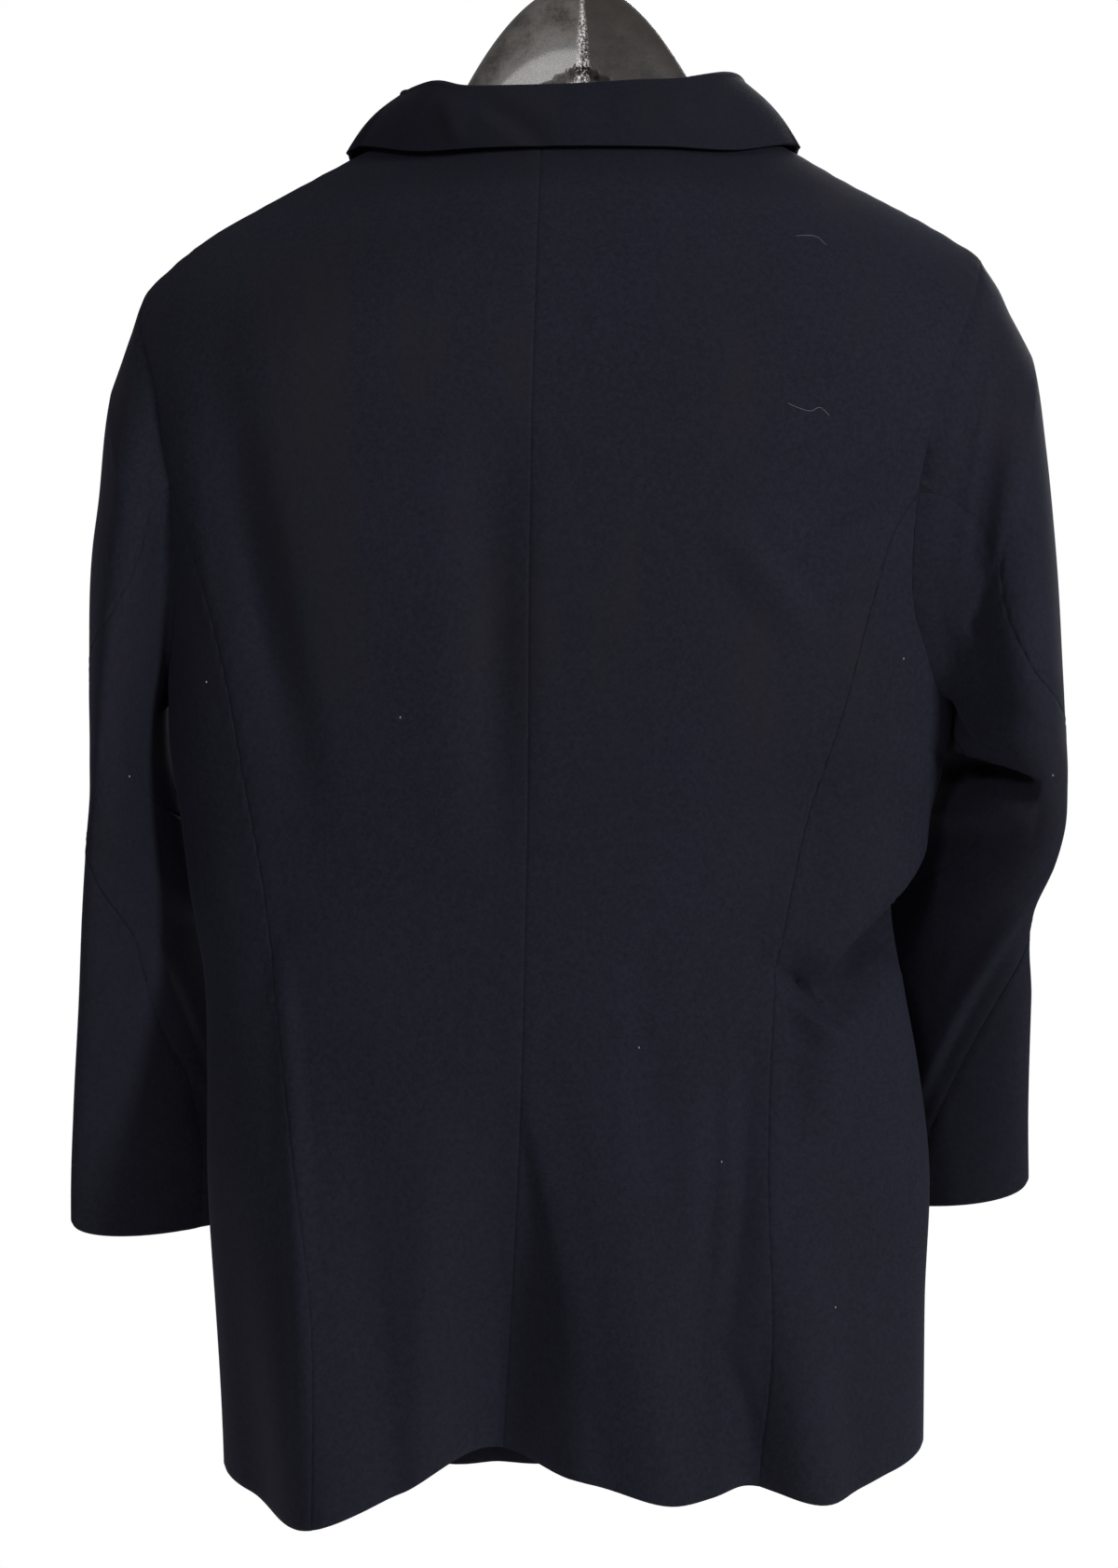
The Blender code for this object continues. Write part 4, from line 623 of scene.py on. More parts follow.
def back_panel(side):
    """From the centre back seam to the armhole and the seam below it."""
    seam_rows, armhole_rows = BACK_SEAM_ROWS[side], BACK_ARMHOLE_ROWS[side]
    tip_x = armhole_rows[0][1]
    z_junction, z_foot = -seam_rows[0][0], seam_foot(BACK_SEAM_COLUMNS, seam_rows, -1)
    outer_z = edge_rows(float(shoulder_z(tip_x)), z_junction, z_foot)
    armhole_x = along_edge(ARMHOLE_COLUMNS, armhole_rows, "across", outer_z)
    seam_x = along_edge(BACK_SEAM_COLUMNS, seam_rows, "across", outer_z)
    outer_x = np.where(np.arange(len(outer_z)) < ARMHOLE_STEPS, armhole_x, seam_x)
    z_neck = float(shoulder_z(NECK_HALF)) - NECK_DIP
    centre_foot = seam_foot(CENTRE_BACK_COLUMNS, CENTRE_BACK_ROWS, -1)
    shares = row_shares((z_junction - outer_z[0]) / (z_foot - outer_z[0]))
    centre_z = z_neck + (centre_foot - z_neck) * shares
    centre_x = along_edge(CENTRE_BACK_COLUMNS, CENTRE_BACK_ROWS, "across", centre_z)
    neck_x = side * NECK_HALF
    across = spread(BACK_COLUMNS_COUNT + 1)
    top_x = np.interp(across, (0, NECK_COLUMNS_SHARE, 1), (centre_x[0], neck_x, tip_x))
    dip = np.clip(1 - (top_x / NECK_HALF) ** 2, 0, 1) ** NECK_ROUNDNESS
    neck_line = shoulder_z(neck_x) - (shoulder_z(neck_x) - z_neck) * dip / max(dip[0], 1e-6)
    on_shoulder = np.abs(top_x) >= NECK_HALF
    top_z = np.where(on_shoulder, shoulder_z(top_x), neck_line)
    foot_x = centre_x[-1] + (outer_x[-1] - centre_x[-1]) * across
    foot_z = hem_z(turn_at(foot_x, np.full_like(foot_x, HEM_GUESS), -1))
    foot_z[0], foot_z[-1] = centre_z[-1], outer_z[-1]
    flat = patch(
        np.stack([top_x, top_z], -1), np.stack([foot_x, foot_z], -1),
        np.stack([centre_x, centre_z], -1), np.stack([outer_x, outer_z], -1), across, shares,
    )
    turns = turn_at(flat[..., 0], flat[..., 1], -1)
    points, outs = body(turns, flat[..., 1]), body_outward(turns, flat[..., 1])
    outs[0, on_shoulder] = shoulder_outward(top_x[on_shoulder])
    piece = cloth_wall(f"back_{side_name(side)}_cloth", points, outs, CLOTH, wool)
    return piece, armhole_edge(armhole_x, outer_z, -1)


def side_name(side):
    return "left" if side == LEFT else "right"


def armhole_edge(armhole_x, outer_z, facing):
    """A panel's edge from the shoulder to the armhole's corner, with its outward directions."""
    x, z = armhole_x[:ARMHOLE_STEPS + 1], outer_z[:ARMHOLE_STEPS + 1]
    turns = turn_at(x, z, facing)
    outs = body_outward(turns, z)
    outs[0] = shoulder_outward(x[:1])[0]
    return body(turns, z), outs


armhole_loops = {}
for side in (LEFT, RIGHT):
    back, back_loop = back_panel(side)
    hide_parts(f"back_{side_name(side)}")
    armhole_loops[side] = [back_loop]

# Side bodies
# Each is one piece of the same wool under the arm, from the curved back seam round to a seam on
# the front. Its top is the bottom of the armhole.
UNDERARM_COLUMNS = ("turn", "drop")
UNDERARM_ROWS = {
    LEFT: ((64.0, 0.332), (68.0, 0.373), (73.0, 0.402), (90.0, 0.428), (107.0, 0.408), (118.0, 0.370)),
    RIGHT: ((54.5, 0.335), (57.0, 0.380), (62.0, 0.410), (90.0, 0.430), (107.0, 0.408), (118.0, 0.370)),
}
UNDERARM_RADIUS, UNDERARM_POINTS = 0.15, 200


def underarm_curve(side, shares):
    """The bottom of the armhole, spaced evenly by length."""
    rows = UNDERARM_ROWS[side]
    fine = np.linspace(rows[0][0], rows[-1][0], UNDERARM_POINTS)
    drops = column(UNDERARM_COLUMNS, rows, "drop", fine)
    steps = np.hypot(np.radians(np.diff(fine)) * UNDERARM_RADIUS, np.diff(drops))
    length = np.concatenate([[0], np.cumsum(steps)]) / np.sum(steps)
    turns = np.interp(shares, length, fine)
    return turns, column(UNDERARM_COLUMNS, rows, "drop", turns)


def side_panel(side):
    back_rows = BACK_SEAM_ROWS[side]
    z_top = -back_rows[0][0]
    back_z = np.linspace(z_top, seam_foot(BACK_SEAM_COLUMNS, back_rows, -1), SEAM_STEPS + 1)
    back_x = along_edge(BACK_SEAM_COLUMNS, back_rows, "across", back_z)
    back_turn = np.abs(turn_at(back_x, back_z, -1))
    front_z = np.linspace(-FRONT_SEAM_ROWS[0][0], front_seam_foot(side), SEAM_STEPS + 1)
    front_x = front_seam_x(side, front_z)
    front_turn = 180.0 - np.abs(turn_at(front_x, front_z, -1))
    across, down = spread(SIDE_COLUMNS_COUNT + 1), np.linspace(0, 1, SEAM_STEPS + 1)
    curve_turn, curve_drop = underarm_curve(side, across)
    top = np.stack([curve_turn, -curve_drop], -1)
    top[0], top[-1] = (back_turn[0], back_z[0]), (front_turn[0], front_z[0])
    foot_turn = back_turn[-1] + (front_turn[-1] - back_turn[-1]) * across
    foot = np.stack([foot_turn, hem_z(side * foot_turn)], -1)
    foot[0], foot[-1] = (back_turn[-1], back_z[-1]), (front_turn[-1], front_z[-1])
    flat = patch(
        top, foot, np.stack([back_turn, back_z], -1), np.stack([front_turn, front_z], -1), across, down,
    )
    turns = side * flat[..., 0]
    points, outs = body(turns, flat[..., 1]), body_outward(turns, flat[..., 1])
    piece = cloth_wall(f"side_{side_name(side)}_cloth", points, outs, CLOTH, wool)
    edge_turns = side * top[:, 0]
    return piece, (body(edge_turns, top[:, 1]), body_outward(edge_turns, top[:, 1]))


for side in (LEFT, RIGHT):
    side_cloth, under_loop = side_panel(side)
    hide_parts(f"side_{side_name(side)}")
    armhole_loops[side].append(under_loop)

# Front panels
# Same wool, hidden in the photo. The right laps over the left and two buttons hold them. Each
# runs from its rolled or straight front edge to the armhole and the seam below it.
FRONT_EDGE_COLUMNS = ("drop", "across")
FRONT_EDGE_ROWS = (
    (0.131, 0.0850), (0.150, 0.0790), (0.189, 0.0665), (0.300, 0.0310), (0.400, -0.0010),
    (0.470, -0.0200), (0.560, -0.0205), (0.800, -0.0205), (0.840, -0.0150), (0.869, 0.0010),
)


def front_panel(side):
    armhole_rows = FRONT_ARMHOLE_ROWS[side]
    tip_x = armhole_rows[0][1]
    z_junction, z_foot = -armhole_rows[-1][0], front_seam_foot(side)
    outer_z = edge_rows(float(shoulder_z(tip_x)), z_junction, z_foot)
    armhole_x = along_edge(ARMHOLE_COLUMNS, armhole_rows, "across", outer_z)
    corner_shift = front_seam_x(side, np.array(z_junction)) - armhole_x[ARMHOLE_STEPS]
    armhole_x = armhole_x + corner_shift * smooth_step(outer_z[0], z_junction, outer_z)
    seam_x = front_seam_x(side, outer_z)
    outer_x = np.where(np.arange(len(outer_z)) < ARMHOLE_STEPS, armhole_x, seam_x)
    neck_x = side * NECK_HALF
    z_neck, edge_foot = float(shoulder_z(neck_x)), -FRONT_EDGE_ROWS[-1][0]
    shares = row_shares((z_junction - outer_z[0]) / (z_foot - outer_z[0]))
    edge_z = z_neck + (edge_foot - z_neck) * shares
    edge_x = side * along_edge(FRONT_EDGE_COLUMNS, FRONT_EDGE_ROWS, "across", edge_z)
    across = spread(FRONT_COLUMNS_COUNT + 1)
    top_x = neck_x + (tip_x - neck_x) * across
    foot_x = edge_x[-1] + (outer_x[-1] - edge_x[-1]) * across
    foot_z = hem_z(turn_at(foot_x, np.full_like(foot_x, HEM_GUESS), 1))
    foot_z[0], foot_z[-1] = edge_z[-1], outer_z[-1]
    flat = patch(
        np.stack([top_x, shoulder_z(top_x)], -1), np.stack([foot_x, foot_z], -1),
        np.stack([edge_x, edge_z], -1), np.stack([outer_x, outer_z], -1), across, shares,
    )
    x, z = flat[..., 0], flat[..., 1]
    turns = side * 180.0 - turn_at(x, z, -1)
    points, outs = body(turns, z), body_outward(turns, z)
    outs[0] = shoulder_outward(top_x)
    piece = cloth_wall(f"front_{side_name(side)}_cloth", points, outs, CLOTH, wool, ("end", "top"))
    return piece, armhole_edge(armhole_x, outer_z, 1)


for side in (LEFT, RIGHT):
    front, front_loop = front_panel(side)
    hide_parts(f"front_{side_name(side)}")
    armhole_loops[side].append(front_loop)

# Sleeves
# Each is a two-piece tailored sleeve of the same wool, set into the armhole with a little ease
# at its head. The forearm turns forward, so its two seams wind round it.
SLEEVE_COLUMNS = ("drop", "outer", "wide", "thin", "turn", "ahead")
SLEEVE_ROWS = {
    LEFT: (
        (0.2215, -0.2335, 0.012, 0.0120, 0, 0.000),
        (0.2305, -0.2405, 0.022, 0.0170, 0, 0.000),
        (0.2445, -0.2445, 0.034, 0.0200, 0, 0.000),
        (0.2645, -0.2485, 0.045, 0.0230, 0, 0.001),
        (0.2885, -0.2525, 0.053, 0.0250, 0, 0.002),
        (0.3375, -0.2565, 0.062, 0.0250, 0, 0.003),
        (0.3595, -0.2590, 0.067, 0.0240, 0, 0.004),
        (0.4335, -0.2590, 0.078, 0.0180, 2, 0.006),
        (0.4705, -0.2565, 0.079, 0.0160, 7, 0.010),
        (0.4895, -0.2560, 0.078, 0.0158, 12, 0.014),
        (0.5145, -0.2580, 0.077, 0.0160, 18, 0.018),
        (0.5500, -0.2618, 0.074, 0.0180, 25, 0.026),
        (0.6000, -0.2668, 0.070, 0.0200, 34, 0.038),
        (0.6600, -0.2735, 0.067, 0.0200, 46, 0.049),
        (0.7000, -0.2775, 0.065, 0.0210, 54, 0.056),
        (0.7500, -0.2785, 0.065, 0.0210, 56, 0.062),
    ),
    RIGHT: (
        (0.2035, 0.2142, 0.012, 0.0120, 0, 0.000),
        (0.2135, 0.2265, 0.026, 0.0190, 0, 0.000),
        (0.2345, 0.2345, 0.040, 0.0240, 0, 0.000),
        (0.2645, 0.2425, 0.051, 0.0280, 0, 0.001),
        (0.3045, 0.2485, 0.060, 0.0310, 0, 0.002),
        (0.3655, 0.2545, 0.070, 0.0300, 0, 0.004),
        (0.4295, 0.2575, 0.078, 0.0290, 0, 0.006),
        (0.4595, 0.2575, 0.079, 0.0290, 4, 0.010),
        (0.4855, 0.2555, 0.078, 0.0265, 14, 0.016),
        (0.5095, 0.2530, 0.077, 0.0230, 22, 0.020),
        (0.5275, 0.2485, 0.075, 0.0225, 27, 0.023),
        (0.5515, 0.2388, 0.072, 0.0210, 33, 0.028),
        (0.6000, 0.2400, 0.070, 0.0210, 40, 0.040),
        (0.6600, 0.2425, 0.067, 0.0210, 48, 0.052),
        (0.7000, 0.2450, 0.065, 0.0210, 52, 0.060),
        (0.7500, 0.2455, 0.065, 0.0210, 52, 0.063),
    ),
}
SLEEVE_SEAM_COLUMNS = ("drop", "turn")
SLEEVE_SEAM_ROWS = {
    LEFT: (
        (0.332, 105.0), (0.369, 113.0), (0.390, 93.0), (0.409, 67.0), (0.425, 34.0), (0.450, 12.0),
        (0.490, 14.0), (0.505, 45.0), (0.520, 78.0), (0.5385, 106.0), (0.563, 134.0), (0.587, 144.0),
        (0.612, 154.0), (0.646, 174.0), (0.740, 184.0),
    ),
    RIGHT: (
        (0.335, 105.0), (0.372, 112.0), (0.402, 104.0), (0.418, 92.0), (0.4305, 79.0), (0.440, 60.0),
        (0.455, 30.0), (0.480, 12.0), (0.515, 14.0), (0.535, 35.0), (0.5515, 57.0), (0.5895, 112.0),
        (0.628, 141.0), (0.658, 157.0), (0.677, 166.0), (0.740, 176.0),
    ),
}
UNDER_SLEEVE_SPAN, UNDER_SLEEVE_NARROWS = 150.0, 25.0
SEAM_START, SEAM_SETTLES = 105.0, 0.22
SLEEVE_JOIN, JOIN_OUTSIDE, JOIN_INSIDE = 0.10, 0.5, 0.3
JOIN_FACES_FROM, JOIN_FACES_TO = 0.3, 1.2
LEAVES_FROM, LEAVES_TO = 98.0, 126.0
# Each cuff: the drop of its lowest point, the turn where that is, and how far the rest rises.
CUFF_ROWS = {LEFT: (0.7320, 150.0, 0.013), RIGHT: (0.7180, 185.0, 0.014)}
SLEEVE_ROWS_COUNT = 170
SLEEVE_BUNCH, SLEEVE_BUNCH_FADES = 0.75, 0.35
CUFF_ROUNDS, SEAM_LEVEL_MOST, SLEEVE_FOLD_FACES = 3, 0.95, 0.35

# Folds in the sleeves, as in the body, seen from the back or the front of each sleeve.
SLEEVE_FOLD_ROWS = {
    LEFT: (
        ("back", -0.2370, 0.262, -0.2400, 0.400, 0.004, 0.012, 0.016, 0.0016, "fades"),
        ("back", -0.2230, 0.300, -0.2180, 0.420, 0.002, 0.010, 0.010, -0.0022, "fades"),
        ("back", -0.2260, 0.455, -0.2120, 0.560, -0.004, 0.014, 0.009, -0.0036, "fades"),
        ("back", -0.2440, 0.470, -0.2360, 0.560, 0.000, 0.012, 0.012, 0.0018, "fades"),
        ("back", -0.2470, 0.530, -0.2040, 0.655, 0.002, 0.010, 0.008, 0.0026, "fades"),
        ("back", -0.2120, 0.645, -0.2010, 0.690, 0.000, 0.010, 0.006, -0.0030, "fades"),
        ("front", -0.2500, 0.470, -0.2250, 0.500, 0.000, 0.012, 0.012, -0.0020, "fades"),
        ("front", -0.2520, 0.500, -0.2200, 0.540, 0.003, 0.010, 0.012, -0.0022, "fades"),
    ),
    RIGHT: (
        ("back", 0.2180, 0.240, 0.1930, 0.375, -0.004, 0.014, 0.012, -0.0022, "fades"),
        ("back", 0.2230, 0.262, 0.2010, 0.385, -0.003, 0.008, 0.012, -0.0034, "fades"),
        ("back", 0.2290, 0.300, 0.2120, 0.390, -0.002, 0.010, 0.010, 0.0018, "fades"),
        ("back", 0.1700, 0.468, 0.2360, 0.488, 0.002, 0.0130, 0.0055, -0.0210, "fades"),
        ("back", 0.1740, 0.474, 0.2080, 0.480, 0.000, 0.014, 0.008, -0.0110, "fades"),
        ("back", 0.1860, 0.452, 0.2320, 0.470, 0.000, 0.010, 0.014, 0.0036, "fades"),
        ("back", 0.1860, 0.500, 0.2360, 0.502, 0.000, 0.020, 0.012, 0.0078, "fades"),
        ("back", 0.1940, 0.520, 0.2360, 0.506, 0.000, 0.008, 0.010, -0.0026, "fades"),
        ("back", 0.2000, 0.398, 0.2120, 0.410, 0.000, 0.006, 0.006, -0.0024, "fades"),
        ("back", 0.1860, 0.540, 0.1820, 0.640, 0.000, 0.010, 0.012, -0.0026, "fades"),
        ("back", 0.2320, 0.548, 0.1800, 0.670, -0.003, 0.011, 0.0060, 0.0034, "fades"),
        ("front", 0.2400, 0.500, 0.2050, 0.530, 0.000, 0.012, 0.012, -0.0020, "fades"),
        ("front", 0.2440, 0.470, 0.2080, 0.490, 0.000, 0.012, 0.010, -0.0026, "fades"),
    ),
}


def sleeve_tube(side, turn, z):
    """The sleeve's outer face. turn is 0 outermost, 90 at the back, 180 next to the body."""
    rows = SLEEVE_ROWS[side]
    outer, wide, thin, yaw, ahead = [column(SLEEVE_COLUMNS, rows, n, -z) for n in SLEEVE_COLUMNS[1:]]
    yaw = np.radians(yaw)
    reach = np.hypot(wide * np.sin(yaw), thin * np.cos(yaw))
    middle = outer - side * reach
    cosine, sine = np.cos(np.radians(turn)), np.sin(np.radians(turn))
    x = middle + thin * cosine * side * np.cos(yaw) + wide * sine * side * np.sin(yaw)
    y = ahead + thin * cosine * np.sin(yaw) - wide * sine * np.cos(yaw)
    return np.stack([x, y, z], axis=-1)


def sleeve_folds(side, points, outs):
    """Move a sleeve's points out or in by its folds."""
    x, z = points[..., 0], points[..., 2]
    push = np.zeros_like(x)
    for seen, *line, rise, ends in SLEEVE_FOLD_ROWS[side]:
        facing = smooth_step(0.0, SLEEVE_FOLD_FACES, outs[..., 1] * (-1 if seen == "back" else 1))
        push = push + rise * facing * fold_shape(x, z, *line, ends)
    return points + outs * push[..., None]


def cuff_z(side, turn):
    drop, low_turn, rise = CUFF_ROWS[side]
    return -drop + rise * (1 - np.cos(np.radians(turn - low_turn)))


def sleeve_shares():
    """Rows down a sleeve, closer at its head and at its hem."""
    even = np.linspace(0, 1, SLEEVE_ROWS_COUNT)
    bunch = SLEEVE_BUNCH * np.sin(2 * math.pi * even) / (2 * math.pi)
    return even - bunch * (1 - SLEEVE_BUNCH_FADES * even)


def seam_turns(side, share, z):
    """The back seam's turn at a height, and the front seam's. Both start at the armhole's corners."""
    settled = smooth_step(0.0, SEAM_SETTLES, share)
    back = column(SLEEVE_SEAM_COLUMNS, SLEEVE_SEAM_ROWS[side], "turn", -z)
    back = SEAM_START + (back - SEAM_START) * settled
    return back, back + UNDER_SLEEVE_SPAN - UNDER_SLEEVE_NARROWS * share


def sleeve_grid(side, loop, under, centre_turn):
    """Lines down the sleeve from the armhole's points, spread between its two seams."""
    shares = sleeve_shares()
    even = np.linspace(0, 1, len(loop))
    first = even
    if under:
        wide, ahead = [column(SLEEVE_COLUMNS, SLEEVE_ROWS[side], n, -loop[:, 2]) for n in ("wide", "ahead")]
        depth = np.clip((ahead - loop[:, 1]) / wide, -SEAM_LEVEL_MOST, SEAM_LEVEL_MOST)
        level = np.degrees(np.arcsin(depth))
        first = np.clip((180.0 - level - SEAM_START) / UNDER_SLEEVE_SPAN, 0, 1)
        first[0], first[-1] = 0.0, 1.0
    points, tubes = np.zeros((len(shares), len(loop), 3)), np.zeros((len(shares), len(loop), 3))
    for row, share in enumerate(shares):
        z = loop[:, 2] + (cuff_z(side, centre_turn) - loop[:, 2]) * share
        for _ in range(CUFF_ROUNDS):
            back, front = seam_turns(side, share, z)
            start, end = (back, front) if under else (front - 360, back)
            across = first + (even - first) * smooth_step(0.0, SEAM_SETTLES, share)
            turns = start + (end - start) * across
            z = loop[:, 2] + (cuff_z(side, turns) - loop[:, 2]) * share
        tube = sleeve_tube(side, turns, z)
        inside = 0.5 - 0.5 * np.cos(np.radians(turns))
        joined = np.clip(share / SLEEVE_JOIN, 0, 1) ** (JOIN_OUTSIDE + (JOIN_INSIDE - JOIN_OUTSIDE) * inside)
        points[row] = loop + (tube - loop) * joined[:, None]
        points[row, :, 2] = z
        tubes[row] = sleeve_outward(side, turns, z)
    outs = grid_outward(points, -side)
    joined = smooth_step(JOIN_FACES_FROM * SLEEVE_JOIN, JOIN_FACES_TO * SLEEVE_JOIN, shares)[:, None, None]
    return points, unit(outs * (1 - joined) + tubes * joined)


def sleeve_outward(side, turn, z):
    return outward(lambda a, b: sleeve_tube(side, a, b), turn, z) * -side


def grid_outward(points, side):
    down = np.gradient(points, axis=0)
    across = np.gradient(points, axis=1)
    return unit(np.cross(down, across)) * side


def off_panel(edge, edge_outs, centre):
    """The direction in the body's surface that leaves the panels and enters the armhole."""
    across = unit(np.cross(np.gradient(edge, axis=0), edge_outs))
    towards = np.sum(across * (centre - edge), axis=-1, keepdims=True)
    return across * np.sign(towards)


def sleeve_half(side, edge, edge_outs, under, centre):
    points, outs = sleeve_grid(side, edge, under, 180.0 if under else 0.0)
    span = UNDER_SLEEVE_SPAN if under else 360.0 - UNDER_SLEEVE_SPAN
    turns = (180.0 if under else 0.0) + np.linspace(-0.5, 0.5, len(edge)) * span
    inside = smooth_step(LEAVES_FROM, LEAVES_TO, 180.0 - np.abs(np.abs(turns) - 180.0))[:, None]
    leave = unit(off_panel(edge, edge_outs, centre) * (1 - inside) + edge_outs * inside)
    points[0] = edge + ARMHOLE_GAP * leave
    outs[0] = unit(edge_outs * (1 - inside) + outs[0] * inside)
    return points, outs


def sleeve(side, loops):
    """Top sleeve and under sleeve, from the armhole's three edges."""
    (back_edge, back_outs), (under_edge, under_outs), (front_edge, front_outs) = loops
    centre = np.mean(np.concatenate([front_edge, under_edge, back_edge]), axis=0)
    top_edge = np.concatenate([front_edge[::-1], back_edge[1:]])
    top_outs = np.concatenate([front_outs[::-1], back_outs[1:]])
    halves = (
        sleeve_half(side, top_edge, top_outs, False, centre),
        sleeve_half(side, under_edge, under_outs, True, centre),
    )
    pieces = []
    for name, (points, outs) in zip(("top", "under"), halves):
        points = sleeve_folds(side, points, outs)
        pieces.append(cloth_wall(f"{name}_sleeve_{side_name(side)}_cloth", points, outs, CLOTH, wool))
    return pieces


for side in (LEFT, RIGHT):
    for part, cloth in zip(("top", "under"), sleeve(side, armhole_loops[side])):
        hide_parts(f"{part}_sleeve_{side_name(side)}")

# Collar
# A folded collar of the same wool over a stiffer band. The band stands up from the neckline, and
# the fall turns over it and lies on the back and the shoulders.
COLLAR_CLOTH, STAND_CLOTH = 0.0026, 0.0016
COLLAR_CENTRE = -0.0040
COLLAR_COLUMNS = ("round", "roll_x", "roll_y", "roll_drop", "edge_x", "edge_drop", "edge_side")
COLLAR_ROWS = (
    (0.00, 0.0000, -0.0500, 0.1212, 0.0000, 0.1598, -1),
    (0.20, 0.0400, -0.0470, 0.1200, 0.0450, 0.1592, -1),
    (0.38, 0.0680, -0.0340, 0.1155, 0.0850, 0.1565, -1),
    (0.52, 0.0835, -0.0100, 0.1105, 0.1150, 0.1470, -1),
    (0.66, 0.0850, 0.0150, 0.1160, 0.1185, 0.1505, 1),
    (0.82, 0.0775, 0.0440, 0.1440, 0.1140, 0.1780, 1),
    (1.00, 0.0680, 0.0660, 0.1840, 0.1060, 0.1990, 1),
)
STAND_COLUMNS = ("round", "x", "y", "drop")
STAND_ROWS = (
    (0.00, 0.0000, -0.0492, 0.1473),
    (0.20, 0.0400, -0.0400, 0.1436),
    (0.38, 0.0660, -0.0240, 0.1368),
    (0.52, 0.0820, -0.0050, 0.1290),
    (0.66, 0.0815, 0.0170, 0.1350),
    (0.82, 0.0715, 0.0390, 0.1540),
    (1.00, 0.0620, 0.0560, 0.1840),
)
COLLAR_LIFT = 0.0050
ROLL_OUT, ROLL_UP = 0.0070, 0.0036
ROLL_CROWN, ROLL_SAG = 0.0006, 0.0022
COLLAR_BELLY = 0.0030
COLLAR_TILT, COLLAR_SETTLE = 0.030, 0.0054
# Each bump along the roll: where, how high and how wide.
COLLAR_BUMPS = (
    (-0.0875, -0.0010, 0.008), (-0.0720, 0.0026, 0.009), (0.0300, 0.0006, 0.016), (0.0720, 0.0026, 0.016),
)
COLLAR_FOLD_ROWS = (
    (-0.060, 0.128, -0.016, 0.160, 0.002, 0.008, 0.013, -0.0030, "fades"),
    (-0.072, 0.126, -0.062, 0.156, 0.000, 0.008, 0.010, 0.0016, "fades"),
    (0.040, 0.122, 0.060, 0.152, 0.000, 0.014, 0.012, 0.0014, "fades"),
    (0.006, 0.126, 0.012, 0.158, 0.000, 0.012, 0.014, -0.0010, "fades"),
)
COLLAR_PLACES, COLLAR_FALL_COUNT, STAND_COUNT = 180, 34, 14
ROLL_START, ROLL_STEPS, ROLL_ROUND, EDGE_INSIDE = -0.35, 9, 0.8, 0.0005
ROLL_BEHIND, EDGE_BEHIND, DENTS_BEHIND = (0.50, 0.70), (0.50, 0.68), (0.2, 0.6)


def collar_round():
    return np.linspace(-1, 1, COLLAR_PLACES + 1)


def collar_column(columns, rows, name, places):
    return column(columns, rows, name, np.abs(places))


def collar_roll():
    places = collar_round()
    x = COLLAR_CENTRE + np.sign(places) * collar_column(COLLAR_COLUMNS, COLLAR_ROWS, "roll_x", places)
    y = collar_column(COLLAR_COLUMNS, COLLAR_ROWS, "roll_y", places)
    z = -collar_column(COLLAR_COLUMNS, COLLAR_ROWS, "roll_drop", places)
    behind = 1 - smooth_step(*ROLL_BEHIND, np.abs(places))
    bumps = sum(high * np.exp(-((x - at) / wide) ** 2) for at, high, wide in COLLAR_BUMPS)
    rise = COLLAR_TILT * x - COLLAR_SETTLE + bumps
    return np.stack([x, y, z + rise * behind], -1)


def collar_edge():
    places = collar_round()
    x = COLLAR_CENTRE + np.sign(places) * collar_column(COLLAR_COLUMNS, COLLAR_ROWS, "edge_x", places)
    drop = collar_column(COLLAR_COLUMNS, COLLAR_ROWS, "edge_drop", places)
    swing = smooth_step(*EDGE_BEHIND, np.abs(places))
    z = np.minimum(-drop, shoulder_z(x) - EDGE_INSIDE)
    back_turn, front_turn = turn_at(x, z, -1), turn_at(x, z, 1)
    back, front = body(back_turn, z), body(front_turn, z)
    back_outs, front_outs = body_outward(back_turn, z), body_outward(front_turn, z)
    mix = swing[:, None]
    outs = unit(back_outs * (1 - mix) + front_outs * mix)
    return back * (1 - mix) + front * mix + outs * COLLAR_LIFT, outs


def collar_fall():
    """Turns over the roll, then lies down the back and over the shoulders."""
    roll, (edge, edge_outs) = collar_roll(), collar_edge()
    level = edge - roll
    level[:, 2] = 0
    out = unit(level)
    up = np.array([0.0, 0.0, 1.0])
    shoulder = roll + out * ROLL_OUT + up * (ROLL_UP - ROLL_SAG)
    rows = []
    for angle in np.linspace(ROLL_START, 1.0, ROLL_STEPS)[:-1] * math.pi / 2:
        over = roll + out * (ROLL_OUT * 0.5 + ROLL_OUT * 0.5 * math.sin(angle))
        crown = (ROLL_SAG + ROLL_CROWN) * math.cos(angle) ** ROLL_ROUND
        rows.append(over + up * (ROLL_UP - ROLL_SAG + crown))
    for part in spread(COLLAR_FALL_COUNT, 0.8):
        belly = edge_outs * COLLAR_BELLY * math.sin(math.pi * part)
        rows.append(shoulder + (edge - shoulder) * part + belly)
    points = np.array(rows)
    outs = grid_outward(points, 1)
    behind = smooth_step(*DENTS_BEHIND, -outs[..., 1])
    x, z = points[..., 0], points[..., 2]
    dents = sum(rise * fold_shape(x, z, *line, ends) for *line, rise, ends in COLLAR_FOLD_ROWS)
    points = points + outs * (dents * behind)[..., None]
    return cloth_wall("collar_fall_cloth", points, outs, COLLAR_CLOTH, wool, seams=(), smooth=0.4)


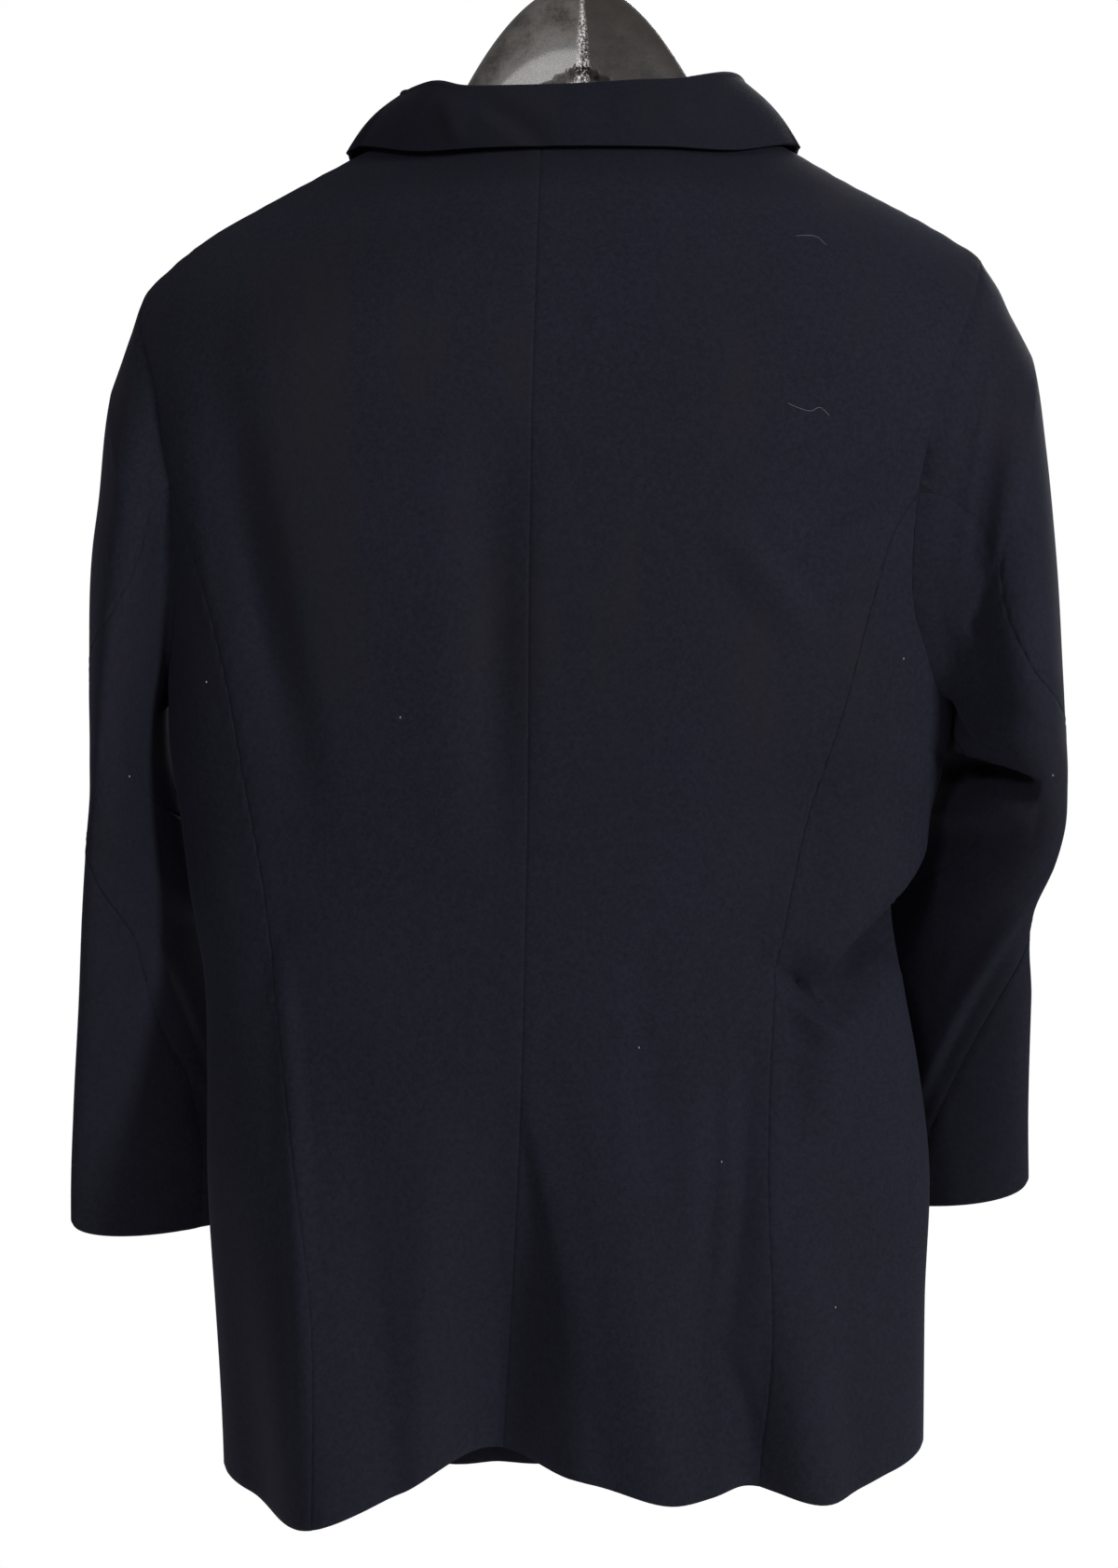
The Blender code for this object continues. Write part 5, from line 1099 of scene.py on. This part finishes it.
def collar_stand():
    places = collar_round()
    x = COLLAR_CENTRE + np.sign(places) * collar_column(STAND_COLUMNS, STAND_ROWS, "x", places)
    y = collar_column(STAND_COLUMNS, STAND_ROWS, "y", places)
    z = -collar_column(STAND_COLUMNS, STAND_ROWS, "drop", places)
    foot = np.stack([x, y, z], -1)
    top = collar_roll()
    points = np.array([top + (foot - top) * part for part in np.linspace(0, 1, STAND_COUNT)])
    outs = grid_outward(points, 1)
    return cloth_wall("collar_stand_cloth", points, outs, STAND_CLOTH, wool, seams=(), smooth=0.6)


for cloth, node, cut, area in (
    (collar_fall(), "collar_fall", (0.42, 0.065), 0.0220),
    (collar_stand(), "collar_stand", (0.30, 0.035), 0.0077),
):
    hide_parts(node)

# Lapels
# Each lapel is the top of the front turned back along its roll, so it is made from the front's
# own points moved out. They are hidden in the photo and plainly notched.
LAPEL_COLUMNS = ("down", "roll_x", "roll_drop", "edge_x", "edge_drop")
LAPEL_ROWS = {
    LEFT: (
        (0.00, -0.0680, 0.1890, -0.1340, 0.2130),
        (0.15, -0.0590, 0.2180, -0.1240, 0.2480),
        (0.40, -0.0440, 0.2680, -0.0980, 0.3020),
        (0.70, -0.0260, 0.3260, -0.0600, 0.3560),
        (1.00, -0.0120, 0.3720, -0.0190, 0.3860),
    ),
    RIGHT: (
        (0.00, 0.0680, 0.1890, 0.1260, 0.2130),
        (0.15, 0.0560, 0.2280, 0.1180, 0.2560),
        (0.40, 0.0360, 0.2920, 0.0930, 0.3260),
        (0.70, 0.0120, 0.3720, 0.0480, 0.4080),
        (1.00, -0.0150, 0.4560, -0.0080, 0.4700),
    ),
}
LAPEL_CLEAR, LAPEL_ROLL = 0.0008, 0.0050
LAPEL_ROLL_AT, LAPEL_ROLL_SPREAD = 0.08, 0.22
LAPEL_DOWN_COUNT, LAPEL_ACROSS_COUNT = 100, 36


def lapel(side):
    rows = LAPEL_ROWS[side]
    down = spread(LAPEL_DOWN_COUNT, 0.5)
    read = [column(LAPEL_COLUMNS, rows, name, down) for name in LAPEL_COLUMNS[1:]]
    roll_x, roll_drop, edge_x, edge_drop = read
    across = spread(LAPEL_ACROSS_COUNT, 0.7)
    x = roll_x[:, None] + (edge_x - roll_x)[:, None] * across
    z = -(roll_drop[:, None] + (edge_drop - roll_drop)[:, None] * across)
    turns = side * 180.0 - turn_at(x, z, -1)
    outs = body_outward(turns, z)
    roll = np.exp(-((across - LAPEL_ROLL_AT) / LAPEL_ROLL_SPREAD) ** 2)
    lift = COLLAR_CLOTH + LAPEL_CLEAR + LAPEL_ROLL * roll
    points = body(turns, z) + outs * lift[None, :, None]
    name = f"lapel_{side_name(side)}_cloth"
    return cloth_wall(name, points, outs, COLLAR_CLOTH, wool, seams=(), smooth=0.5)


for side in (LEFT, RIGHT):
    cloth = lapel(side)
    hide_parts(f"lapel_{side_name(side)}")

# Buttons
# Two dark horn-look resin buttons, turned with a raised rim, sewn through four holes with navy
# thread to the right front. Each hole is a near-black plug of painted shade, not an opening.
BUTTON_X = 0.000
BUTTON_DROPS = {"button_upper": 0.490, "button_lower": 0.600}
BUTTON_CLEAR = 0.0012
# Radius and height along the button's turned profile.
BUTTON_PROFILE = (
    (0.0000, 0.0002), (0.0070, 0.0000), (0.0090, 0.0003), (0.0104, 0.0009), (0.0110, 0.0016),
    (0.0110, 0.0025), (0.0107, 0.0032), (0.0101, 0.0036), (0.0093, 0.0036), (0.0086, 0.0033),
    (0.0079, 0.0025), (0.0072, 0.0021), (0.0050, 0.0020), (0.0000, 0.0020),
)
BUTTON_HOLE_OFF, BUTTON_HOLE, BUTTON_ROUND, HOLE_ROUND = 0.0021, 0.0008, 64, 16
SHARP_RIM = math.radians(55)
BUTTON_CENTRE, HOLE_IN, HOLE_OUT = 0.0002, 0.0006, 0.00005
THREAD_WIRE, THREAD_APART = 0.00035, 0.6
THREAD_IN, THREAD_BEND, THREAD_TOP = 0.0005, 0.0004, 0.0007

horn = Finish("dark_horn_look", Roughness=0.3, Specular_IOR_Level=0.5)
horn_place = horn.place()
horn_grain = horn.noise(horn.stretch(horn_place, (160.0, 160.0, 620.0)), 1.0, 4.0, 0.6)
horn.feed(
    Base_Color=horn.blend(horn_grain, (0.006, 0.005, 0.006, 1), (0.055, 0.045, 0.042, 1)),
    Roughness=horn.steps(horn_grain, 0.3, 0.7, 0.22, 0.40),
    Normal=horn.bump(horn_grain, 0.00003),
)
thread_paint = Finish("navy_thread", Roughness=0.7)
thread_place = thread_paint.place()
thread_twist = thread_paint.noise(thread_place, 2600.0)
thread_paint.feed(
    Base_Color=thread_paint.blend(thread_twist, (0.010, 0.010, 0.018, 1), (0.035, 0.035, 0.055, 1)),
    Normal=thread_paint.bump(thread_twist, 0.0001),
)
# Painted shade: each button hole is a near-black plug standing in for the shaded inside of the hole.
hole_paint = Finish("button_hole_painted_shade", Roughness=0.9)
hole_place = hole_paint.place()
hole_shade_mottle = hole_paint.noise(hole_place, 900.0)
hole_paint.feed(Base_Color=hole_paint.blend(hole_shade_mottle, (0.002, 0.002, 0.002, 1), (0.006, 0.006, 0.006, 1)))


def tube(route, radius, steps=8):
    """A closed round tube along a route."""
    route = np.array(route)
    along = unit(np.gradient(route, axis=0))
    side = unit(np.cross(along, [0.0, 1.0, 0.0]) + 1e-9)
    over = np.cross(side, along)
    angles = np.linspace(0, 2 * math.pi, steps, endpoint=False)[None, :, None]
    rings = route[:, None] + radius * (side[:, None] * np.cos(angles) + over[:, None] * np.sin(angles))
    return rings.reshape(-1, 3), ring_faces(len(route), steps)


def ring_faces(rings, steps):
    """Skin over closed rings of points, with a flat face at each end."""
    faces = []
    for ring in range(rings - 1):
        low, high = ring * steps, (ring + 1) * steps
        for step in range(steps):
            following = (step + 1) % steps
            faces.append([low + step, low + following, high + following, high + step])
    faces.append(list(range(steps))[::-1])
    faces.append([(rings - 1) * steps + step for step in range(steps)])
    return faces


def solid_piece(name, bodies, finishes):
    """One object from several closed bodies, each with one of the finishes."""
    points, faces, slots = [], [], []
    for (body_points, body_faces), slot in bodies:
        base = len(points)
        points += [tuple(p) for p in body_points]
        faces += [[base + k for k in face] for face in body_faces]
        slots += [slot] * len(body_faces)
    mesh = bpy.data.meshes.new(name)
    mesh.from_pydata(points, [], faces)
    for finish in finishes:
        mesh.materials.append(finish.data)
    mesh.polygons.foreach_set("material_index", slots)
    shape = bmesh.new()
    shape.from_mesh(mesh)
    bmesh.ops.recalc_face_normals(shape, faces=shape.faces[:])
    shape.to_mesh(mesh)
    shape.free()
    mesh.shade_smooth()
    mesh.set_sharp_from_angle(angle=SHARP_RIM)
    piece = bpy.data.objects.new(name, mesh)
    bpy.context.scene.collection.objects.link(piece)
    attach(piece, "root")
    return piece


def button(name, drop):
    turn, z = 180.0 - turn_at(np.array(BUTTON_X), np.array(-drop), -1), np.array(-drop)
    centre, out = body(turn, z), body_outward(turn, z)
    side = unit(np.cross(out, [0.0, 0.0, 1.0]))
    up = np.cross(side, out)
    base = centre + out * BUTTON_CLEAR
    angles = np.linspace(0, 2 * math.pi, BUTTON_ROUND, endpoint=False)
    rings = []
    for radius, height in BUTTON_PROFILE:
        turned = side * np.cos(angles)[:, None] + up * np.sin(angles)[:, None]
        rings.append(base + out * height + turned * max(radius, BUTTON_CENTRE))
    bodies = [((np.concatenate(rings), ring_faces(len(rings), BUTTON_ROUND)), 0)]
    face = base + out * BUTTON_PROFILE[-1][1]
    for across in (-1, 1):
        for rise in (-1, 1):
            spot = face + (side * across + up * rise) * BUTTON_HOLE_OFF
            # A near-black plug of painted shade for each hole; the button's face is not cut.
            bodies.append((tube([spot - out * HOLE_IN, spot + out * HOLE_OUT], BUTTON_HOLE, HOLE_ROUND), 1))
        top, foot = [face + (side * across + up * rise) * BUTTON_HOLE_OFF for rise in (1, -1)]
        for shift in (-THREAD_APART, THREAD_APART):
            shifted = side * shift * THREAD_WIRE
            route = [top - out * THREAD_IN, top + out * THREAD_BEND, (top + foot) / 2 + out * THREAD_TOP]
            route += [foot + out * THREAD_BEND, foot - out * THREAD_IN]
            bodies.append((tube([p + shifted for p in route], THREAD_WIRE), 2))
    return solid_piece(f"{name}_turned", bodies, (horn, hole_paint, thread_paint))


for name, drop in BUTTON_DROPS.items():
    turned = button(name, drop)
    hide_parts(name)

# Hanger
# One moulding of glossy black-brown plastic. Its broad domed neck shows above the collar, with
# a raised crease down the middle, and its arms run inside the shoulders.
DOME_TOP_DROP = 0.0560
DOME_CURVE = 0.067
DOME_FOOT_DROP, DOME_FOOT_HALF = 0.172, 0.10
CREASE_DEPTH, CREASE_SLOPE = 0.0240, 0.13
ARM_TIP = {LEFT: -0.2180, RIGHT: 0.2000}
ARM_CLEAR = 0.0072
ARM_TALL_NECK, ARM_TALL_TIP, ARM_NARROWS = 0.052, 0.024, 0.3
ARM_DEEP_NECK, ARM_DEEP_TIP = 0.0125, 0.0075
HANGER_COUNT, HANGER_RING = 260, 200
STATION_BUNCH = 1.6
HANGER_SQUARE = 0.85
CREASE_X = 0.0008
NOTCH_DROP, NOTCH_STEEP, NOTCH_TALL = 0.1058, 0.62, 0.030
NOTCH_EDGE, NOTCH_DEEP = 0.0010, 0.0032

plastic = Finish(
    "glossy_plastic", Roughness=0.2, Specular_IOR_Level=0.5, Coat_Weight=0.25, Coat_Roughness=0.10,
)
plastic_place = plastic.place()
plastic_x = plastic.axis(plastic_place, "X")
plastic_z = plastic.axis(plastic_place, "Z")
plastic_swirl = plastic.noise(plastic_place, 60.0, 5.0, 0.66)
plastic_fine = plastic.noise(plastic_place, 900.0, 3.0, 0.7)
# Painted reflection: left of the crease the plastic is lightened in mottled patches, standing for the room
# mirrored in that half.
plastic_left = 1 - plastic.steps(plastic_x, CREASE_X - 0.0006, CREASE_X + 0.0006)
plastic_colour = plastic.blend(plastic_swirl, (0.016, 0.013, 0.011, 1), (0.030, 0.025, 0.022, 1))
plastic_painted_reflection = plastic.steps(plastic_swirl + plastic_fine * 0.35, 0.40, 0.92) * plastic_left
plastic_colour = plastic.blend(plastic_painted_reflection, plastic_colour, (0.120, 0.108, 0.100, 1))
# Painted highlight: a narrow pale speckled band down the crease, widening towards its foot, where the ridge
# catches the light.
plastic_off = plastic.node("ShaderNodeMath", {"operation": "ABSOLUTE"}, {0: plastic_x - CREASE_X})
plastic_narrows = plastic.steps(plastic_z, -0.110, -0.062) * 0.0030
plastic_ridge_highlight = 1 - plastic.steps(plastic_off + plastic_narrows, 0.0018, 0.0046)
plastic_speckle = plastic.steps(plastic_fine + plastic_swirl * 0.5, 0.70, 0.84)
plastic_colour = plastic.blend(plastic_ridge_highlight * plastic_speckle, plastic_colour, (0.62, 0.60, 0.57, 1))
plastic.feed(
    Base_Color=plastic_colour,
    Roughness=plastic.steps(plastic_swirl + plastic_fine * 0.4, 0.4, 0.95, 0.30, 0.48),
    Normal=plastic.bump(plastic_swirl + plastic_fine * 0.1, 0.0004),
)


def hanger_section(x):
    """Top, foot and half depth of the hanger where it crosses x."""
    side = LEFT if x < 0 else RIGHT
    reach = abs(x) / abs(ARM_TIP[side])
    dome_top = -DOME_TOP_DROP - x * x / DOME_CURVE
    arm_top = float(shoulder_z(np.array(x))) - ARM_CLEAR
    tall = ARM_TALL_NECK + (ARM_TALL_TIP - ARM_TALL_NECK) * float(smooth_step(ARM_NARROWS, 1.0, reach))
    settled = float(smooth_step(0.0, DOME_FOOT_HALF, abs(x)))
    foot = -DOME_FOOT_DROP * (1 - settled) + (arm_top - tall) * settled
    arm_deep = ARM_DEEP_NECK + (ARM_DEEP_TIP - ARM_DEEP_NECK) * reach
    return max(dome_top, arm_top), foot, max(CREASE_DEPTH - CREASE_SLOPE * abs(x), arm_deep)


stations = np.concatenate([
    ARM_TIP[LEFT] * np.linspace(1, 0, HANGER_COUNT // 2)[:-1] ** STATION_BUNCH,
    ARM_TIP[RIGHT] * np.linspace(0, 1, HANGER_COUNT // 2) ** STATION_BUNCH,
])
hanger_points = []
for x in stations:
    top, foot, deep = hanger_section(float(x))
    middle, half = (top + foot) / 2, (top - foot) / 2
    angles = np.linspace(0, 2 * math.pi, HANGER_RING, endpoint=False)
    cosine, sine = np.cos(angles), np.sin(angles)
    z = middle + half * np.sign(cosine) * np.abs(cosine) ** HANGER_SQUARE
    y = deep * np.sign(sine) * np.abs(sine) ** HANGER_SQUARE
    below = -z - NOTCH_DROP - abs(x - CREASE_X) * NOTCH_STEEP
    notch = smooth_step(0.0, NOTCH_EDGE, below)
    notch = notch * (1 - smooth_step(NOTCH_TALL, NOTCH_TALL + NOTCH_EDGE, below))
    y = y + np.where(y < 0, NOTCH_DEEP * notch, 0.0)
    hanger_points.append(np.stack([np.full_like(y, x), y, z], -1))
hanger_shape = (np.concatenate(hanger_points), ring_faces(len(stations), HANGER_RING))
hanger = solid_piece("hanger_moulding", [(hanger_shape, 0)], (plastic,))
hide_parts("hanger_body")

# Hook
# Bright plated steel wire, out of the photo's frame. It stands in the top of the dome, and the
# rail bears inside its bend.
steel = Finish("plated_steel", Metallic=1.0, Roughness=0.2)
steel_place = steel.place()
steel_drawn = steel.noise(steel.stretch(steel_place, (900.0, 900.0, 60.0)), 1.0, 3.0)
steel.feed(
    Base_Color=steel.blend(steel_drawn, (0.50, 0.50, 0.51, 1), (0.70, 0.70, 0.70, 1)),
    Roughness=steel.steps(steel_drawn, 0.3, 0.7, 0.14, 0.30),
)
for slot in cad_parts["hanger_hook"].material_slots:
    slot.material = steel.data

# Lint
# A few hairs and specks of light lint cling to the wool. Each lies on the cloth it is on.
LINT_HAIRS = {
    "upper": ((0.1001, 0.2100), (0.1052, 0.2050), (0.1125, 0.2030), (0.1210, 0.2028), (0.1262, 0.2075)),
    "middle": ((0.1040, 0.2926), (0.1100, 0.2950), (0.1158, 0.2962), (0.1206, 0.2944), (0.1253, 0.2982)),
}
LINT_SPECKS = (
    (-0.1944, 0.4320), (-0.0923, 0.4510), (0.0294, 0.6197),
    (0.0721, 0.6776), (0.1296, 0.7531), (0.1666, 0.4201),
)
LINT_SLEEVE_SPECKS = ((LEFT, -0.2351, 0.4810), (RIGHT, 0.2425, 0.4804))
HAIR_RADIUS, HAIR_CLEAR, HAIR_POINTS, HAIR_SIDES = 0.00008, 0.0005, 40, 6
SPECK_RADIUS, SPECK_CLEAR, SPECK_SIDES = 0.00042, 0.0003, 8
SPECK_TALL, SPECK_FLAT, SPECK_BLUNT = 1.5, 0.5, 0.9
SPECK_HEIGHTS = (-0.9, -0.4, 0.2, 0.8)
SLEEVE_BACK = np.linspace(5.0, 175.0, 171)

lint = Finish("pale_lint", Roughness=0.9)
lint_place = lint.place()
lint_fluff = lint.noise(lint_place, 2200.0)
lint.feed(Base_Color=lint.blend(lint_fluff, (0.06, 0.06, 0.065, 1), (0.30, 0.29, 0.29, 1)))


def on_back(x, drop, clear):
    """A point just off the back, straight behind a place on it."""
    turn, z = turn_at(np.array(x), np.array(-drop), -1), np.array(-drop)
    return body(turn, z) + body_outward(turn, z) * clear


def on_sleeve(side, x, drop, clear):
    z = np.full_like(SLEEVE_BACK, -drop)
    ring, outs = sleeve_tube(side, SLEEVE_BACK, z), sleeve_outward(side, SLEEVE_BACK, z)
    nearest = np.argmin(np.abs(ring[:, 0] - x))
    return ring[nearest] + outs[nearest] * clear


def speck(centre):
    """A crumb of fluff, a little longer than it is wide."""
    rings = []
    for height in SPECK_HEIGHTS:
        angles = np.linspace(0, 2 * math.pi, SPECK_SIDES, endpoint=False) + height
        wide = SPECK_RADIUS * math.sqrt(1 - height * height * SPECK_BLUNT)
        level = np.full(SPECK_SIDES, SPECK_TALL * SPECK_RADIUS * height)
        ring = np.stack([wide * np.cos(angles), SPECK_FLAT * wide * np.sin(angles), level], -1)
        rings.append(centre + ring)
    return np.concatenate(rings), ring_faces(len(rings), SPECK_SIDES)


for name, places in LINT_HAIRS.items():
    route = np.array([on_back(x, drop, HAIR_CLEAR) for x, drop in places])
    at = np.linspace(0, len(places) - 1, HAIR_POINTS)
    rows = [(k, *place) for k, place in enumerate(route)]
    smooth = np.stack([column(("at", "x", "y", "z"), rows, axis, at) for axis in ("x", "y", "z")], -1)
    hair = solid_piece(f"lint_hair_{name}", [(tube(smooth, HAIR_RADIUS, HAIR_SIDES), 0)], (lint,))
spots = [on_back(x, drop, SPECK_CLEAR) for x, drop in LINT_SPECKS]
spots += [on_sleeve(side, x, drop, SPECK_CLEAR) for side, x, drop in LINT_SLEEVE_SPECKS]
specks = solid_piece("lint_specks", [(speck(spot), 0) for spot in spots], (lint,))
